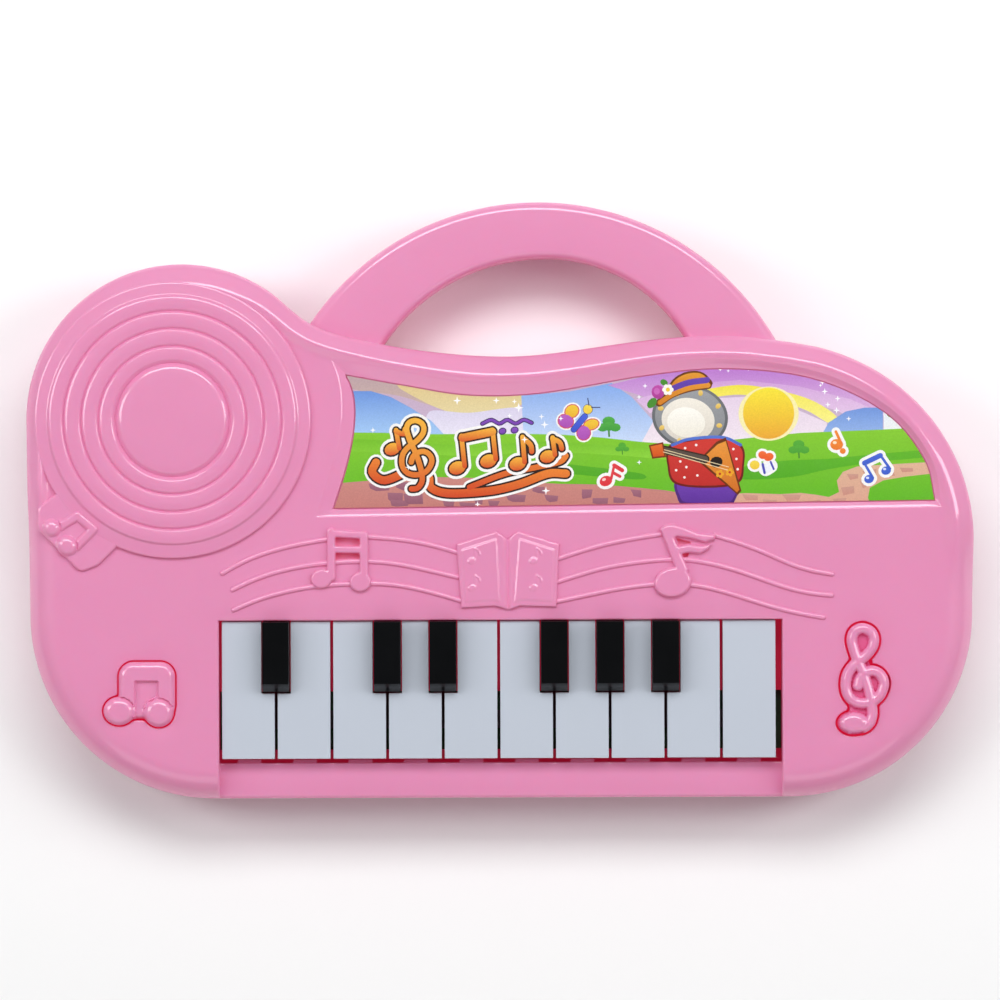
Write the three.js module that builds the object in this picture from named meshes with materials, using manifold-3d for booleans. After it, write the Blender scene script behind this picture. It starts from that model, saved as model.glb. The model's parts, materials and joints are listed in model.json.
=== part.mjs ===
// Toy electronic keyboard: a hand-held two-shell case with a carrying handle, ten white and six
// black keys on one pivot rod, two note-shaped push buttons, a speaker and two AA cells.
// Millimetres. The toy lies on its back: +X to the right, +Y towards the handle, +Z up.
// The origin is the middle of the bounding box, at the level the feet stand on.

import * as THREE from "three";
import { mergeVertices } from "three/addons/utils/BufferGeometryUtils.js";
import Module from "manifold-3d";

const wasm = await Module();
wasm.setup();

// ---------------------------------------------------------------- driving dimensions

const GAP = 0.3; // between pieces that touch
const WALL = 2.2; // shell thickness

// Levels of the case
const FOOT_HEIGHT = 1.5;
const BACK_Z = FOOT_HEIGHT; // outside of the back
const FLOOR_Z = BACK_Z + WALL; // inside of the back
const PARTING_Z = 13; // where the two shells meet
const FACE_Z = 28; // outside of the face
const CEILING_Z = FACE_Z - WALL; // inside of the face
const TOP_EDGE_ROUND = 8;
const BACK_EDGE_ROUND = 4;

// Rim bead along the upper border of the face
const RIM_HEIGHT = 1.6;
const RIM_CREST = 5.4; // in from the border
const RIM_WIDTH = 8.5;
const RIM_END_Y = -6;

// Outline of the case, as circles [x, y, radius] that the border runs round
const LOBE = { x: -83.9, y: 21.5, radius: 40.9 };
const LEFT_CORNER = { x: -75.7, y: -30.1, radius: 48.5 };
const RIGHT_CORNER = { x: 76.2, y: -30.1, radius: 48.5 };
const RIGHT_SIDE = { x: 73.2, y: -10.9, radius: 51.7 };
const SHOULDER = { x: 69.7, y: -16.6, radius: 58.4 };
const VALLEY = { x: 2, y: 37.8 };

// Terraced disc over the speaker, its levels from the outermost in
const DISC = {
  x: -86.1,
  y: 21.35,
  root: FACE_Z - 1,
  levels: [
    { radius: 36.2, z: FACE_Z + 1.2 },
    { radius: 32.6, z: FACE_Z + 2.1 },
    { radius: 14.8, z: FACE_Z + 2.5 },
  ],
};

// Handle
const HANDLE_OUTER = { x: 10, y: 6.1, radius: 72.5 };
const HANDLE_INNER_LEFT = { x: 11.8, y: 13, radius: 50.9 };
const HANDLE_INNER_RIGHT = { x: 12.3, y: 21.2, radius: 42.7 };
const HANDLE_BACK_Z = 4.5;
const HANDLE_FACE_Z = 23;
const HANDLE_EDGE_ROUND = 4;

// Key window and the lower rail in front of it
const WINDOW_HALF_WIDTH = 74.2;
const WINDOW_REAR_Y = -31.6;
const WINDOW_FRONT_Y = -69.3;
const RAIL_TOP_Z = 22;
const RAIL_THICKNESS = 2.2;
const SKIRT_BOTTOM_Z = 16.6;

// Keys
const WHITE_COUNT = 10;
const WHITE_KEYS = Array.from({ length: WHITE_COUNT }, (_, key) => key);
const KEY_PITCH = 14.66;
const KEY_GAP = 0.8;
const KEYS_X = -0.5; // middle of the row of keys
const BLACK_AFTER = [1, 3, 4, 6, 7, 8]; // a black key stands after these white keys
const BLACK_WIDTH = 7;
const NOTCH_HALF_WIDTH = 3.85; // white keys are cut back this far beside a black key
const WHITE_FRONT_Y = -68;
const WHITE_TOP_Z = 26.5;
const BLACK_FRONT_Y = -50.3;
const BLACK_TOP_Z = 31.5;
const KEY_REAR_Y = -31.9; // the visible part ends here, and the tail goes on under the face
const KEY_TAIL_TOP_Z = 22;
const KEY_UNDERSIDE_Z = 18.7;
const KEY_WALL = 1.4;
const PIVOT = { y: -17, z: 19.6, radius: 1.2 };
const KNUCKLE_RADIUS = 2.9;
const WHITE_CONTACT_Y = -58;
const BLACK_CONTACT_Y = -47.5;
const PLUNGER_RADIUS = 1.8;
const WHITE_PLUNGER_Z = 18;
const BLACK_PLUNGER_Z = 17.7;

// Circuit board, contact rubber and key frame
const BOARD = { halfLength: 101, rearY: -44.5, frontY: -66, bottomZ: 12.4, topZ: 14 };
const RUBBER_BASE_Z = BOARD.topZ + GAP;
const RUBBER_BASE_THICKNESS = 0.6;
const FRAME_PLATE = { halfLength: 75.6, rearY: -12.2, frontY: -50.5, bottomZ: 15.2, topZ: 16.3 };

// Push buttons
const BUTTON_TOP_Z = FACE_Z + 2.4;
const BUTTON_CLEARANCE = 0.5;
const BUTTON_FLANGE_THICKNESS = 2;
const BUTTON_STEM_Z = 17.9;
const NOTE_STEM = { x: -93, y: -53 };
const CLEF_STEM = { x: 95, y: -53 };

// Battery bay: two AA cells side by side, lying along X
const CELL_RADIUS = 7.1;
const CELL_LENGTH = 48.6;
const CELL_NIPPLE = { radius: 2.7, length: 1.4 };
const CELL_Z = 11.3;
const CELL_Y = [0.2, 15.8];
const BAY = { left: 1, right: 64, front: -8, rear: 24, ceiling: 19.2, wall: 3 };
const COVER_TOP_Z = BACK_Z + 2;
const COVER_OVERLAP = 1.5;
const COVER_TONGUE = { reach: 8.5, halfWidth: 5, y: 8 };
const COVER_SCREW = { x: BAY.left - 5.5, y: COVER_TONGUE.y };
const COVER_TAB_Y = [0, 16];

// Speaker
const SPEAKER = { x: -86, y: 21, radius: 25.5 };

// Slide switch on the back
const SWITCH = {
  x: -24,
  y: 5,
  travel: 4,
  knobLength: 4,
  halfLength: 8,
  halfWidth: 3.5,
  height: 5,
};

// Printed sheet, and the recess of the face that it lies in
const STICKER = { recessDepth: 1.4, thickness: 0.3, clearance: 0.4 };

// Screws that hold the two shells together
const CASE_SCREWS = [
  { x: -88, y: -71 },
  { x: 88, y: -71 },
  { x: -112, y: -14 },
  { x: 112, y: -8 },
  { x: -45, y: 30 },
  { x: 72, y: 32.5 },
  { x: 10, y: 71.2, inHandle: true },
];
const BOARD_SCREWS = [
  { x: -80, y: -60 },
  { x: 80, y: -60 },
];
const FEET = [
  { x: -70, y: -58 },
  { x: 70, y: -58 },
  { x: -60, y: 44 },
  { x: 88, y: 26 },
];

// ---------------------------------------------------------------- materials

function plastic(color, roughness = 0.35) {
  return new THREE.MeshStandardMaterial({ color, roughness, metalness: 0 });
}

function metal(color, roughness = 0.3) {
  return new THREE.MeshStandardMaterial({ color, roughness, metalness: 1 });
}

const PINK = plastic(0xf29cc4);
const DEEP_PINK = plastic(0xe0598f, 0.5);
const WHITE = plastic(0xd9dee8, 0.3);
const BLACK = plastic(0x15161a, 0.25);
const GREEN_BOARD = plastic(0x1e5a3c, 0.5);
const GREY_RUBBER = plastic(0x4a4d52, 0.8);
const EPOXY = plastic(0x101012, 0.4);
const CELL_SLEEVE = plastic(0x2f6fb3, 0.4);
const STEEL = metal(0xb9bcc2);
const DARK_STEEL = metal(0x6a6d72, 0.45);
const PAPER = plastic(0x8fc95b, 0.4);
const CONE_PAPER = plastic(0x2a2a2c, 0.9);
const RED_WIRE = plastic(0xb3201c, 0.5);
const BLACK_WIRE = plastic(0x1a1a1a, 0.5);

// ---------------------------------------------------------------- solids

function toSolid(geometry) {
  const bare = geometry.index ? geometry.toNonIndexed() : geometry.clone();
  bare.deleteAttribute("normal");
  bare.deleteAttribute("uv");
  const merged = mergeVertices(bare, 1e-4);
  return new wasm.Manifold(
    new wasm.Mesh({
      numProp: 3,
      vertProperties: new Float32Array(merged.attributes.position.array),
      triVerts: new Uint32Array(merged.index.array),
    }),
  );
}

function join(solids) {
  return solids.reduce((whole, next) => whole.add(next));
}

function cut(body, tools) {
  return tools.reduce((rest, tool) => rest.subtract(tool), body);
}

function pieceFrom(solid, name, material) {
  const result = solid.getMesh();
  const geometry = new THREE.BufferGeometry();
  geometry.setAttribute("position", new THREE.BufferAttribute(result.vertProperties, 3));
  geometry.setIndex(new THREE.BufferAttribute(result.triVerts, 1));
  const mesh = new THREE.Mesh(geometry, material);
  mesh.name = name;
  return mesh;
}

// A block between two corners, each [x, y, z]
function block(low, high) {
  const geometry = new THREE.BoxGeometry(high[0] - low[0], high[1] - low[1], high[2] - low[2]);
  geometry.translate((low[0] + high[0]) / 2, (low[1] + high[1]) / 2, (low[2] + high[2]) / 2);
  return toSolid(geometry);
}

function post(x, y, radius, bottom, top, sides = 10) {
  const geometry = new THREE.CylinderGeometry(radius, radius, top - bottom, sides);
  geometry.rotateX(Math.PI / 2);
  geometry.translate(x, y, (bottom + top) / 2);
  return toSolid(geometry);
}

function barAlongX(y, z, radius, left, right, sides = 10) {
  const geometry = new THREE.CylinderGeometry(radius, radius, right - left, sides);
  geometry.rotateZ(-Math.PI / 2);
  geometry.translate((left + right) / 2, y, z);
  return toSolid(geometry);
}

function slab(shape, bottom, top, curveSegments = 6) {
  const geometry = new THREE.ExtrudeGeometry(shape, {
    depth: top - bottom,
    bevelEnabled: false,
    curveSegments,
  });
  geometry.translate(0, 0, bottom);
  return toSolid(geometry);
}

// A solid of revolution about a vertical line. The profile is [radius, z] pairs from axis to axis.
function turned(profile, x, y, sides = 24) {
  const points = profile.map(([radius, z]) => new THREE.Vector2(radius, z));
  const geometry = new THREE.LatheGeometry(points, sides);
  geometry.rotateX(Math.PI / 2);
  geometry.translate(x, y, 0);
  return toSolid(geometry);
}

function roundedRectangle(left, right, front, rear, radius) {
  const shape = new THREE.Shape();
  shape.moveTo(left + radius, front);
  shape.absarc(right - radius, front + radius, radius, -Math.PI / 2, 0, false);
  shape.absarc(right - radius, rear - radius, radius, 0, Math.PI / 2, false);
  shape.absarc(left + radius, rear - radius, radius, Math.PI / 2, Math.PI, false);
  shape.absarc(left + radius, front + radius, radius, Math.PI, Math.PI * 1.5, false);
  return shape;
}

function polygon(points) {
  return new THREE.Shape(points.map(([x, y]) => new THREE.Vector2(x, y)));
}

function oval(x, y, radiusX, radiusY, grow = 0) {
  const shape = new THREE.Shape();
  shape.absellipse(x, y, radiusX + grow, radiusY + grow, 0, Math.PI * 2, false, 0);
  return shape;
}

// The outline moved inwards by `inset`, with mitred corners
function insetOutline(points, inset) {
  return points.map((point, i) => {
    const before = points[(i + points.length - 1) % points.length];
    const after = points[(i + 1) % points.length];
    const arriving = point.clone().sub(before).normalize();
    const leaving = after.clone().sub(point).normalize();
    const along = arriving.clone().add(leaving).normalize();
    const mitre = Math.min(1 / Math.max(along.dot(leaving), 0.01), 2);
    return new THREE.Vector2(
      point.x - along.y * inset * mitre,
      point.y + along.x * inset * mitre,
    );
  });
}

// Outline points without the doubled ones where two arcs meet
function outlinePoints(shape, divisions) {
  const points = shape.getPoints(divisions);
  return points.filter((point, i) => {
    const next = points[(i + 1) % points.length];
    return point.distanceTo(next) > 1;
  });
}

// A closed skin through copies of one outline, each copy at its own [inset, z], lowest first
function lofted(points, profile) {
  const rings = profile.map(([inset, z]) =>
    insetOutline(points, inset).map((p) => [p.x, p.y, z]),
  );
  const count = points.length;
  const index = [];
  for (let ring = 0; ring + 1 < rings.length; ring++) {
    for (let i = 0; i < count; i++) {
      const a = ring * count + i;
      const b = ring * count + ((i + 1) % count);
      index.push(a, b, b + count, a, b + count, a + count);
    }
  }
  const last = (rings.length - 1) * count;
  for (const [a, b, c] of THREE.ShapeUtils.triangulateShape([...points], [])) {
    index.push(a, c, b);
    index.push(last + a, last + b, last + c);
  }
  const geometry = new THREE.BufferGeometry();
  geometry.setAttribute("position", new THREE.Float32BufferAttribute(rings.flat(2), 3));
  geometry.setIndex(index);
  return toSolid(geometry);
}

// [inset, z] steps of an upright wall with both its edges rounded
function roundedWall(bottom, bottomRound, top, topRound, inset = 0, steps = 2) {
  const profile = [];
  for (let i = 0; i <= steps; i++) {
    const angle = (i / steps) * (Math.PI / 2);
    const back = bottomRound * (1 - Math.sin(angle));
    profile.push([inset + back, bottom + bottomRound * (1 - Math.cos(angle))]);
  }
  for (let i = 0; i <= steps; i++) {
    const angle = (i / steps) * (Math.PI / 2);
    const back = topRound * (1 - Math.cos(angle));
    profile.push([inset + back, top - topRound * (1 - Math.sin(angle))]);
  }
  return profile;
}

// A round wire or bead along a smooth curve through the points
function wire(points, radius, steps, sides = 4) {
  const path = new THREE.CatmullRomCurve3(points.map((p) => new THREE.Vector3(...p)));
  const section = new THREE.Shape();
  section.absarc(0, 0, radius, 0, Math.PI * 2, false);
  const geometry = new THREE.ExtrudeGeometry(section, {
    steps,
    extrudePath: path,
    curveSegments: sides / 2,
  });
  return toSolid(geometry);
}

// ---------------------------------------------------------------- outlines

function arcOn(path, circle, fromDegrees, toDegrees, clockwise = false) {
  const from = THREE.MathUtils.degToRad(fromDegrees);
  const to = THREE.MathUtils.degToRad(toDegrees);
  path.absarc(circle.x, circle.y, circle.radius, from, to, clockwise);
}

function caseOutline() {
  const shape = new THREE.Shape();
  shape.moveTo(LEFT_CORNER.x, LEFT_CORNER.y - LEFT_CORNER.radius);
  arcOn(shape, RIGHT_CORNER, -90, 0);
  arcOn(shape, RIGHT_SIDE, 0, 58);
  arcOn(shape, SHOULDER, 58, 84);
  shape.bezierCurveTo(46, 46.5, VALLEY.x + 20, VALLEY.y, VALLEY.x, VALLEY.y);
  shape.bezierCurveTo(VALLEY.x - 22, VALLEY.y, -45, 43.5, -51.6, 46.7);
  arcOn(shape, LOBE, 38, 180);
  arcOn(shape, LEFT_CORNER, 180, 270);
  return outlinePoints(shape, 5);
}

function handleOutline() {
  const shape = new THREE.Shape();
  arcOn(shape, HANDLE_OUTER, 20, 160);
  arcOn(shape, HANDLE_INNER_LEFT, 155, 90, true);
  arcOn(shape, HANDLE_INNER_RIGHT, 90, 20, true);
  return outlinePoints(shape, 8);
}

function stickerOutline() {
  const shape = new THREE.Shape();
  shape.moveTo(-43.7, -2);
  shape.lineTo(114.4, -0.3);
  shape.splineThru(
    [
      [111.9, 9.8],
      [103.8, 20.6],
      [91.4, 28.3],
      [76.6, 32.8],
      [56.8, 34.2],
      [37.5, 32.3],
      [10.5, 27.9],
      [-8.3, 27.5],
      [-25, 30.1],
      [-40.4, 32.9],
    ].map(([x, y]) => new THREE.Vector2(x, y)),
  );
  shape.quadraticCurveTo(-34.2, 23.8, -43.7, -2);
  return shape;
}

// The beamed pair of notes that the left button is shaped as, grown outwards by `grow`
function noteButtonSolids(bottom, top, grow) {
  const frame = roundedRectangle(-100.6 - grow, -85.5 + grow, -57.5 - grow, -42.1 + grow, 3.8);
  return join([
    slab(frame, bottom, top, 3),
    slab(oval(-100.7, -55.1, 4.1, 3.8, grow), bottom, top, 7),
    slab(oval(-90.1, -55.9, 3.9, 3.8, grow), bottom, top, 7),
  ]);
}

// The treble clef that the right button is shaped as
function clefButtonSolids(bottom, top, grow) {
  const spine = roundedRectangle(92.2 - grow, 98.4 + grow, -60 - grow, -36 + grow, 1.5);
  return join([
    slab(oval(95, -37, 4.1, 4.2, grow), bottom, top, 7),
    slab(oval(95.6, -49.2, 6.1, 6.6, grow), bottom, top, 9),
    slab(spine, bottom, top, 2),
    slab(oval(92.9, -59.1, 4.2, 3.2, grow), bottom, top, 7),
  ]);
}

// ---------------------------------------------------------------- case

function caseSkin() {
  const body = caseOutline();
  const handle = handleOutline();
  const outer = join([
    lofted(body, roundedWall(BACK_Z, BACK_EDGE_ROUND, FACE_Z, TOP_EDGE_ROUND)),
    lofted(handle, roundedWall(HANDLE_BACK_Z, HANDLE_EDGE_ROUND, HANDLE_FACE_Z, HANDLE_EDGE_ROUND)),
    rimBead(body),
  ]);
  const handleRound = HANDLE_EDGE_ROUND - WALL;
  const inner = join([
    lofted(body, hollowProfile(FLOOR_Z, BACK_EDGE_ROUND - WALL, CEILING_Z, TOP_EDGE_ROUND - WALL)),
    lofted(
      handle,
      hollowProfile(HANDLE_BACK_Z + WALL, handleRound, HANDLE_FACE_Z - WALL, handleRound),
    ),
  ]);
  return outer.subtract(inner);
}

// The inside follows the outside one wall thickness in, with plain sloped corners
function hollowProfile(bottom, bottomRound, top, topRound) {
  return roundedWall(bottom, bottomRound, top, topRound, WALL, 1);
}

// A raised ridge just inside the border, on the upper part of the face only
function rimBead(body) {
  const root = FACE_Z - 3;
  const crest = FACE_Z + RIM_HEIGHT;
  const ridge = lofted(body, [
    [RIM_CREST - 0.8, root],
    [RIM_CREST, crest],
  ]);
  const field = lofted(body, [
    [RIM_WIDTH + 2, root - 1],
    [RIM_WIDTH - 1, crest + 0.5],
  ]);
  const lowerFace = block([-150, -150, root - 2], [150, RIM_END_Y, crest + 2]);
  return cut(ridge, [field, lowerFace]);
}

// Concentric terraces over the speaker
function discTerraces() {
  const { x, y, root, levels } = DISC;
  const profile = [
    [0, root],
    [levels[0].radius, root],
    [levels[0].radius, levels[0].z],
    [levels[1].radius, levels[0].z],
    [levels[1].radius, levels[1].z],
    [levels[2].radius, levels[1].z],
    [levels[2].radius, levels[2].z],
    [0, levels[2].z],
  ];
  return turned(profile, x, y, 32);
}

// Raised music book in the middle of the face, and the notes on its two sides
function faceEmblems() {
  const root = FACE_Z - 0.6;
  const book = polygon([
    [-10.4, -28.2],
    [2.2, -28.9],
    [14.8, -28],
    [15.5, -11.6],
    [4.7, -8.2],
    [1.8, -10.3],
    [-0.9, -8.2],
    [-11.5, -11.6],
  ]);
  const beams = polygon([
    [-45.5, -14.2],
    [-34.7, -16],
    [-34.7, -9],
    [-45.5, -7.4],
  ]);
  const flag = polygon([
    [41.9, -8.5],
    [57, -9.8],
    [54, -12.8],
    [44.2, -12.8],
  ]);
  return [
    slab(book, root, FACE_Z + 1.2),
    slab(beams, root, FACE_Z + 1),
    block([-45.5, -21, root], [-43.6, -8, FACE_Z + 1]),
    block([-36.9, -22, root], [-34.7, -9.5, FACE_Z + 1]),
    post(-47.1, -20.6, 2.6, root, FACE_Z + 1.2),
    post(-36.7, -21.4, 2.6, root, FACE_Z + 1.2),
    slab(flag, root, FACE_Z + 1),
    block([42, -21, root], [43.8, -9, FACE_Z + 1]),
    slab(oval(45.4, -21.9, 4.7, 3.6), root, FACE_Z + 1.3, 8),
  ];
}

// Rounded tab with a small pair of notes at the lower left of the terraces
function noteTab() {
  const tab = polygon([
    [-121, -3.2],
    [-116, 3.4],
    [-100, -11],
    [-108.5, -18],
    [-112.5, -17],
  ]);
  return [slab(tab, FACE_Z - 1, FACE_Z + 1.2)];
}

function screwBossesInTop() {
  return CASE_SCREWS.map(({ x, y, inHandle }) => {
    const top = inHandle ? HANDLE_FACE_Z - WALL + 0.4 : CEILING_Z + 0.4;
    return post(x, y, 3.6, PARTING_Z + GAP, top);
  });
}

function screwHolesInTop() {
  return CASE_SCREWS.map(({ x, y }) => post(x, y, 1.7, PARTING_Z - 1, 19.5, 8));
}

// Walls that hang down round the key window and carry the front rail
function windowSurround() {
  const half = WINDOW_HALF_WIDTH;
  const outside = half + 1.8;
  const front = LEFT_CORNER.y - LEFT_CORNER.radius + 1;
  const railBottom = RAIL_TOP_Z - RAIL_THICKNESS;
  const lip = WINDOW_FRONT_Y - 1.8;
  const walls = [
    block([-outside, front, SKIRT_BOTTOM_Z], [-half, WINDOW_REAR_Y, CEILING_Z + 0.4]),
    block([half, front, SKIRT_BOTTOM_Z], [outside, WINDOW_REAR_Y, CEILING_Z + 0.4]),
    block([-outside, WINDOW_REAR_Y, 23], [outside, WINDOW_REAR_Y + 1.8, CEILING_Z + 0.4]),
    block([-half - 0.5, front, railBottom], [half + 0.5, WINDOW_FRONT_Y, RAIL_TOP_Z]),
    block([-half - 0.5, lip, SKIRT_BOTTOM_Z], [half + 0.5, WINDOW_FRONT_Y, RAIL_TOP_Z]),
  ];
  const keyGuides = WHITE_KEYS.map((key) =>
    block(
      [whiteX(key) - 3.2, WINDOW_FRONT_Y - 0.5, SKIRT_BOTTOM_Z],
      [whiteX(key) + 3.2, WINDOW_FRONT_Y + 0.9, RAIL_TOP_Z - 1],
    ),
  );
  return [...walls, ...keyGuides];
}

function windowOpening() {
  const half = WINDOW_HALF_WIDTH;
  return [
    block([-half, WINDOW_FRONT_Y + 1.2, PARTING_Z - 5], [half, WINDOW_REAR_Y, 45]),
    block([-half, WINDOW_FRONT_Y - 0.1, 21.1], [half, WINDOW_REAR_Y, 45]),
    block([-half, -90, RAIL_TOP_Z], [half, WINDOW_FRONT_Y + 1, 45]),
  ];
}

function topShell() {
  const below = block([-150, -120, -10], [150, 120, PARTING_Z + GAP / 2]);
  const holes = PARTING_Z;
  const whole = join([
    caseSkin().subtract(below),
    discTerraces(),
    ...faceEmblems(),
    ...noteTab(),
    ...screwBossesInTop(),
  ]);
  const opened = cut(whole, windowOpening());
  return cut(join([opened, ...windowSurround()]), [
    ...screwHolesInTop(),
    block([-WINDOW_HALF_WIDTH, -90, RAIL_TOP_Z], [WINDOW_HALF_WIDTH, WINDOW_FRONT_Y, 45]),
    slab(stickerOutline(), FACE_Z - STICKER.recessDepth, FACE_Z + 0.2, 2),
    noteButtonSolids(holes, 40, BUTTON_CLEARANCE),
    clefButtonSolids(holes, 40, BUTTON_CLEARANCE),
  ]);
}

// The printed sheet, a little smaller than its recess
function displaySticker() {
  const outline = insetOutline(outlinePoints(stickerOutline(), 2), STICKER.clearance);
  const bottom = FACE_Z - STICKER.recessDepth + GAP;
  return slab(new THREE.Shape(outline), bottom, bottom + STICKER.thickness);
}

// Tube posts for the case screws, with the deep recess for each head cut later
function screwPosts() {
  return CASE_SCREWS.map(({ x, y, inHandle }) =>
    post(x, y, 4.6, inHandle ? HANDLE_BACK_Z + 1 : BACK_Z + 1, PARTING_Z - GAP / 2),
  );
}

function screwRecesses() {
  return CASE_SCREWS.flatMap(({ x, y }) => [
    post(x, y, 3.4, BACK_Z - 1, 8),
    post(x, y, 1.7, BACK_Z, PARTING_Z + 1, 8),
  ]);
}

function boardPosts() {
  const screwed = BOARD_SCREWS.map(({ x, y }) => post(x, y, 3, FLOOR_Z - 0.5, BOARD.bottomZ - GAP));
  const plain = [-36, 36].map((x) => post(x, -56, 2.5, FLOOR_Z - 0.5, BOARD.bottomZ - GAP, 8));
  return [...screwed, ...plain];
}

function framePosts() {
  const spots = [
    [-70, -38],
    [70, -38],
    [-70, -16],
    [70, -16],
    [0, -38],
  ];
  return spots.map(([x, y]) => post(x, y, 2.6, FLOOR_Z - 0.5, FRAME_PLATE.bottomZ - GAP, 8));
}

// Pocket for the cells, with the walls that the cover's edge rests against
function batteryBay() {
  const walls = block(
    [BAY.left - BAY.wall, BAY.front - BAY.wall, FLOOR_Z - 0.5],
    [BAY.right + BAY.wall, BAY.rear + BAY.wall, BAY.ceiling + 2],
  );
  const tongueSeat = block(
    [BAY.left - COVER_TONGUE.reach - 3, COVER_TONGUE.y - 7.5, FLOOR_Z - 0.5],
    [BAY.left, COVER_TONGUE.y + 7.5, FLOOR_Z + 1.6],
  );
  const screwBoss = post(COVER_SCREW.x, COVER_SCREW.y, 3.6, FLOOR_Z, 12);
  return [walls, tongueSeat, screwBoss];
}

function bayCuts() {
  const pocket = block([BAY.left, BAY.front, 0], [BAY.right, BAY.rear, BAY.ceiling]);
  const seat = coverPlate(GAP, COVER_TOP_Z + GAP);
  const screwHole = post(COVER_SCREW.x, COVER_SCREW.y, 1.5, 0, 11, 8);
  const tabSlots = COVER_TAB_Y.map((y) =>
    block([BAY.right - 1, y - 3.6, COVER_TOP_Z], [BAY.right + BAY.wall + 1, y + 3.6, 6.8]),
  );
  const contactSlots = CELL_Y.map((y) =>
    block([BAY.left - BAY.wall - 1, y - 1.3, 13], [BAY.left + 1, y + 1.3, 14.6]),
  );
  return [pocket, seat, screwHole, ...tabSlots, ...contactSlots];
}

// The cover's plate with its screw tongue, grown outwards by `grow`
function coverPlate(grow, top) {
  const rim = COVER_OVERLAP + grow;
  const side = COVER_TONGUE.halfWidth + grow;
  const { reach, y } = COVER_TONGUE;
  return join([
    block(
      [BAY.left - rim, BAY.front - rim, BACK_Z - grow],
      [BAY.right + rim, BAY.rear + rim, top],
    ),
    block([BAY.left - reach - grow, y - side, BACK_Z - grow], [BAY.left, y + side, top]),
  ]);
}

function speakerSeat() {
  const outer = post(SPEAKER.x, SPEAKER.y, SPEAKER.radius + 2, FLOOR_Z - 0.5, 7, 24);
  const inner = post(SPEAKER.x, SPEAKER.y, SPEAKER.radius + 0.6, FLOOR_Z, 8, 24);
  return outer.subtract(inner);
}

// Straight slots across the back under the speaker, within one circle
function speakerSlots() {
  const reach = 20;
  const slots = [];
  for (let row = -3; row <= 3; row++) {
    const y = row * 5.4;
    const half = Math.sqrt(reach * reach - y * y);
    slots.push(
      block(
        [SPEAKER.x - half, SPEAKER.y + y - 1.1, 0],
        [SPEAKER.x + half, SPEAKER.y + y + 1.1, FLOOR_Z + 1],
      ),
    );
  }
  return slots;
}

// Ribs that hold the switch body from both sides
function switchRibs() {
  return [-1, 1].map((side) => {
    const near = SWITCH.x + side * (SWITCH.halfLength + GAP);
    const far = near + side * 1.6;
    return block(
      [Math.min(near, far), SWITCH.y - 3.5, FLOOR_Z - 0.5],
      [Math.max(near, far), SWITCH.y + 3.5, 9.5],
    );
  });
}

function switchOpening() {
  const dish = block(
    [SWITCH.x - 7, SWITCH.y - 4, BACK_Z - 1],
    [SWITCH.x + 7, SWITCH.y + 4, BACK_Z + 0.8],
  );
  const slot = block(
    [SWITCH.x - 4.6, SWITCH.y - 2.3, BACK_Z - 1],
    [SWITCH.x + 4.6, SWITCH.y + 2.3, FLOOR_Z + 1],
  );
  return [dish, slot];
}

function bottomShell() {
  const above = block([-150, -120, PARTING_Z - GAP / 2], [150, 120, 60]);
  const whole = join([
    caseSkin().subtract(above),
    ...screwPosts(),
    ...boardPosts(),
    ...framePosts(),
    ...batteryBay(),
    ...switchRibs(),
    speakerSeat(),
    ...FEET.map(({ x, y }) => post(x, y, 5, 0, BACK_Z + 1, 16)),
  ]);
  return cut(whole, [
    ...screwRecesses(),
    ...BOARD_SCREWS.map(({ x, y }) => post(x, y, 1.3, 6, BOARD.bottomZ, 8)),
    ...bayCuts(),
    ...speakerSlots(),
    ...switchOpening(),
  ]);
}

// ---------------------------------------------------------------- battery parts

function batteryCover() {
  const tabs = COVER_TAB_Y.flatMap((y) => [
    block([BAY.right - 2.6, y - 3, COVER_TOP_Z - 0.5], [BAY.right - 0.6, y + 3, COVER_TOP_Z + 1.7]),
    block([BAY.right - 2.6, y - 3, COVER_TOP_Z + 0.5], [BAY.right + 2.4, y + 3, COVER_TOP_Z + 1.7]),
  ]);
  const plate = join([coverPlate(0, COVER_TOP_Z), ...tabs]);
  const grips = [0, 1, 2, 3].map((row) =>
    block([6 + row * 3, -1, BACK_Z - 1], [7.4 + row * 3, 17, BACK_Z + 0.6]),
  );
  return cut(plate, [
    post(COVER_SCREW.x, COVER_SCREW.y, 1.7, 0, 6, 8),
    post(COVER_SCREW.x, COVER_SCREW.y, 3, 0, BACK_Z + 1.2),
    ...grips,
  ]);
}

function batteryCoverScrew() {
  return screw(COVER_SCREW.x, COVER_SCREW.y, 2.7, BACK_Z, BACK_Z + 0.9, 1.2, 10.5);
}

// A screw with a round head below and its shank going up
function screw(x, y, headRadius, headBottom, headTop, shankRadius, shankTop) {
  const slot = 0.35;
  const arm = headRadius * 0.6;
  const low = headBottom - 1;
  const high = headBottom + 0.6;
  const head = post(x, y, headRadius, headBottom, headTop);
  const shank = post(x, y, shankRadius, headTop - 0.2, shankTop, 8);
  const drive = [
    block([x - arm, y - slot, low], [x + arm, y + slot, high]),
    block([x - slot, y - arm, low], [x + slot, y + arm, high]),
  ];
  return cut(join([head, shank]), drive);
}

function boardScrew(x, y) {
  return join([
    post(x, y, 2.6, BOARD.topZ + GAP, BOARD.topZ + 2),
    post(x, y, 1, 7, BOARD.topZ + 0.5, 8),
  ]);
}

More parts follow.
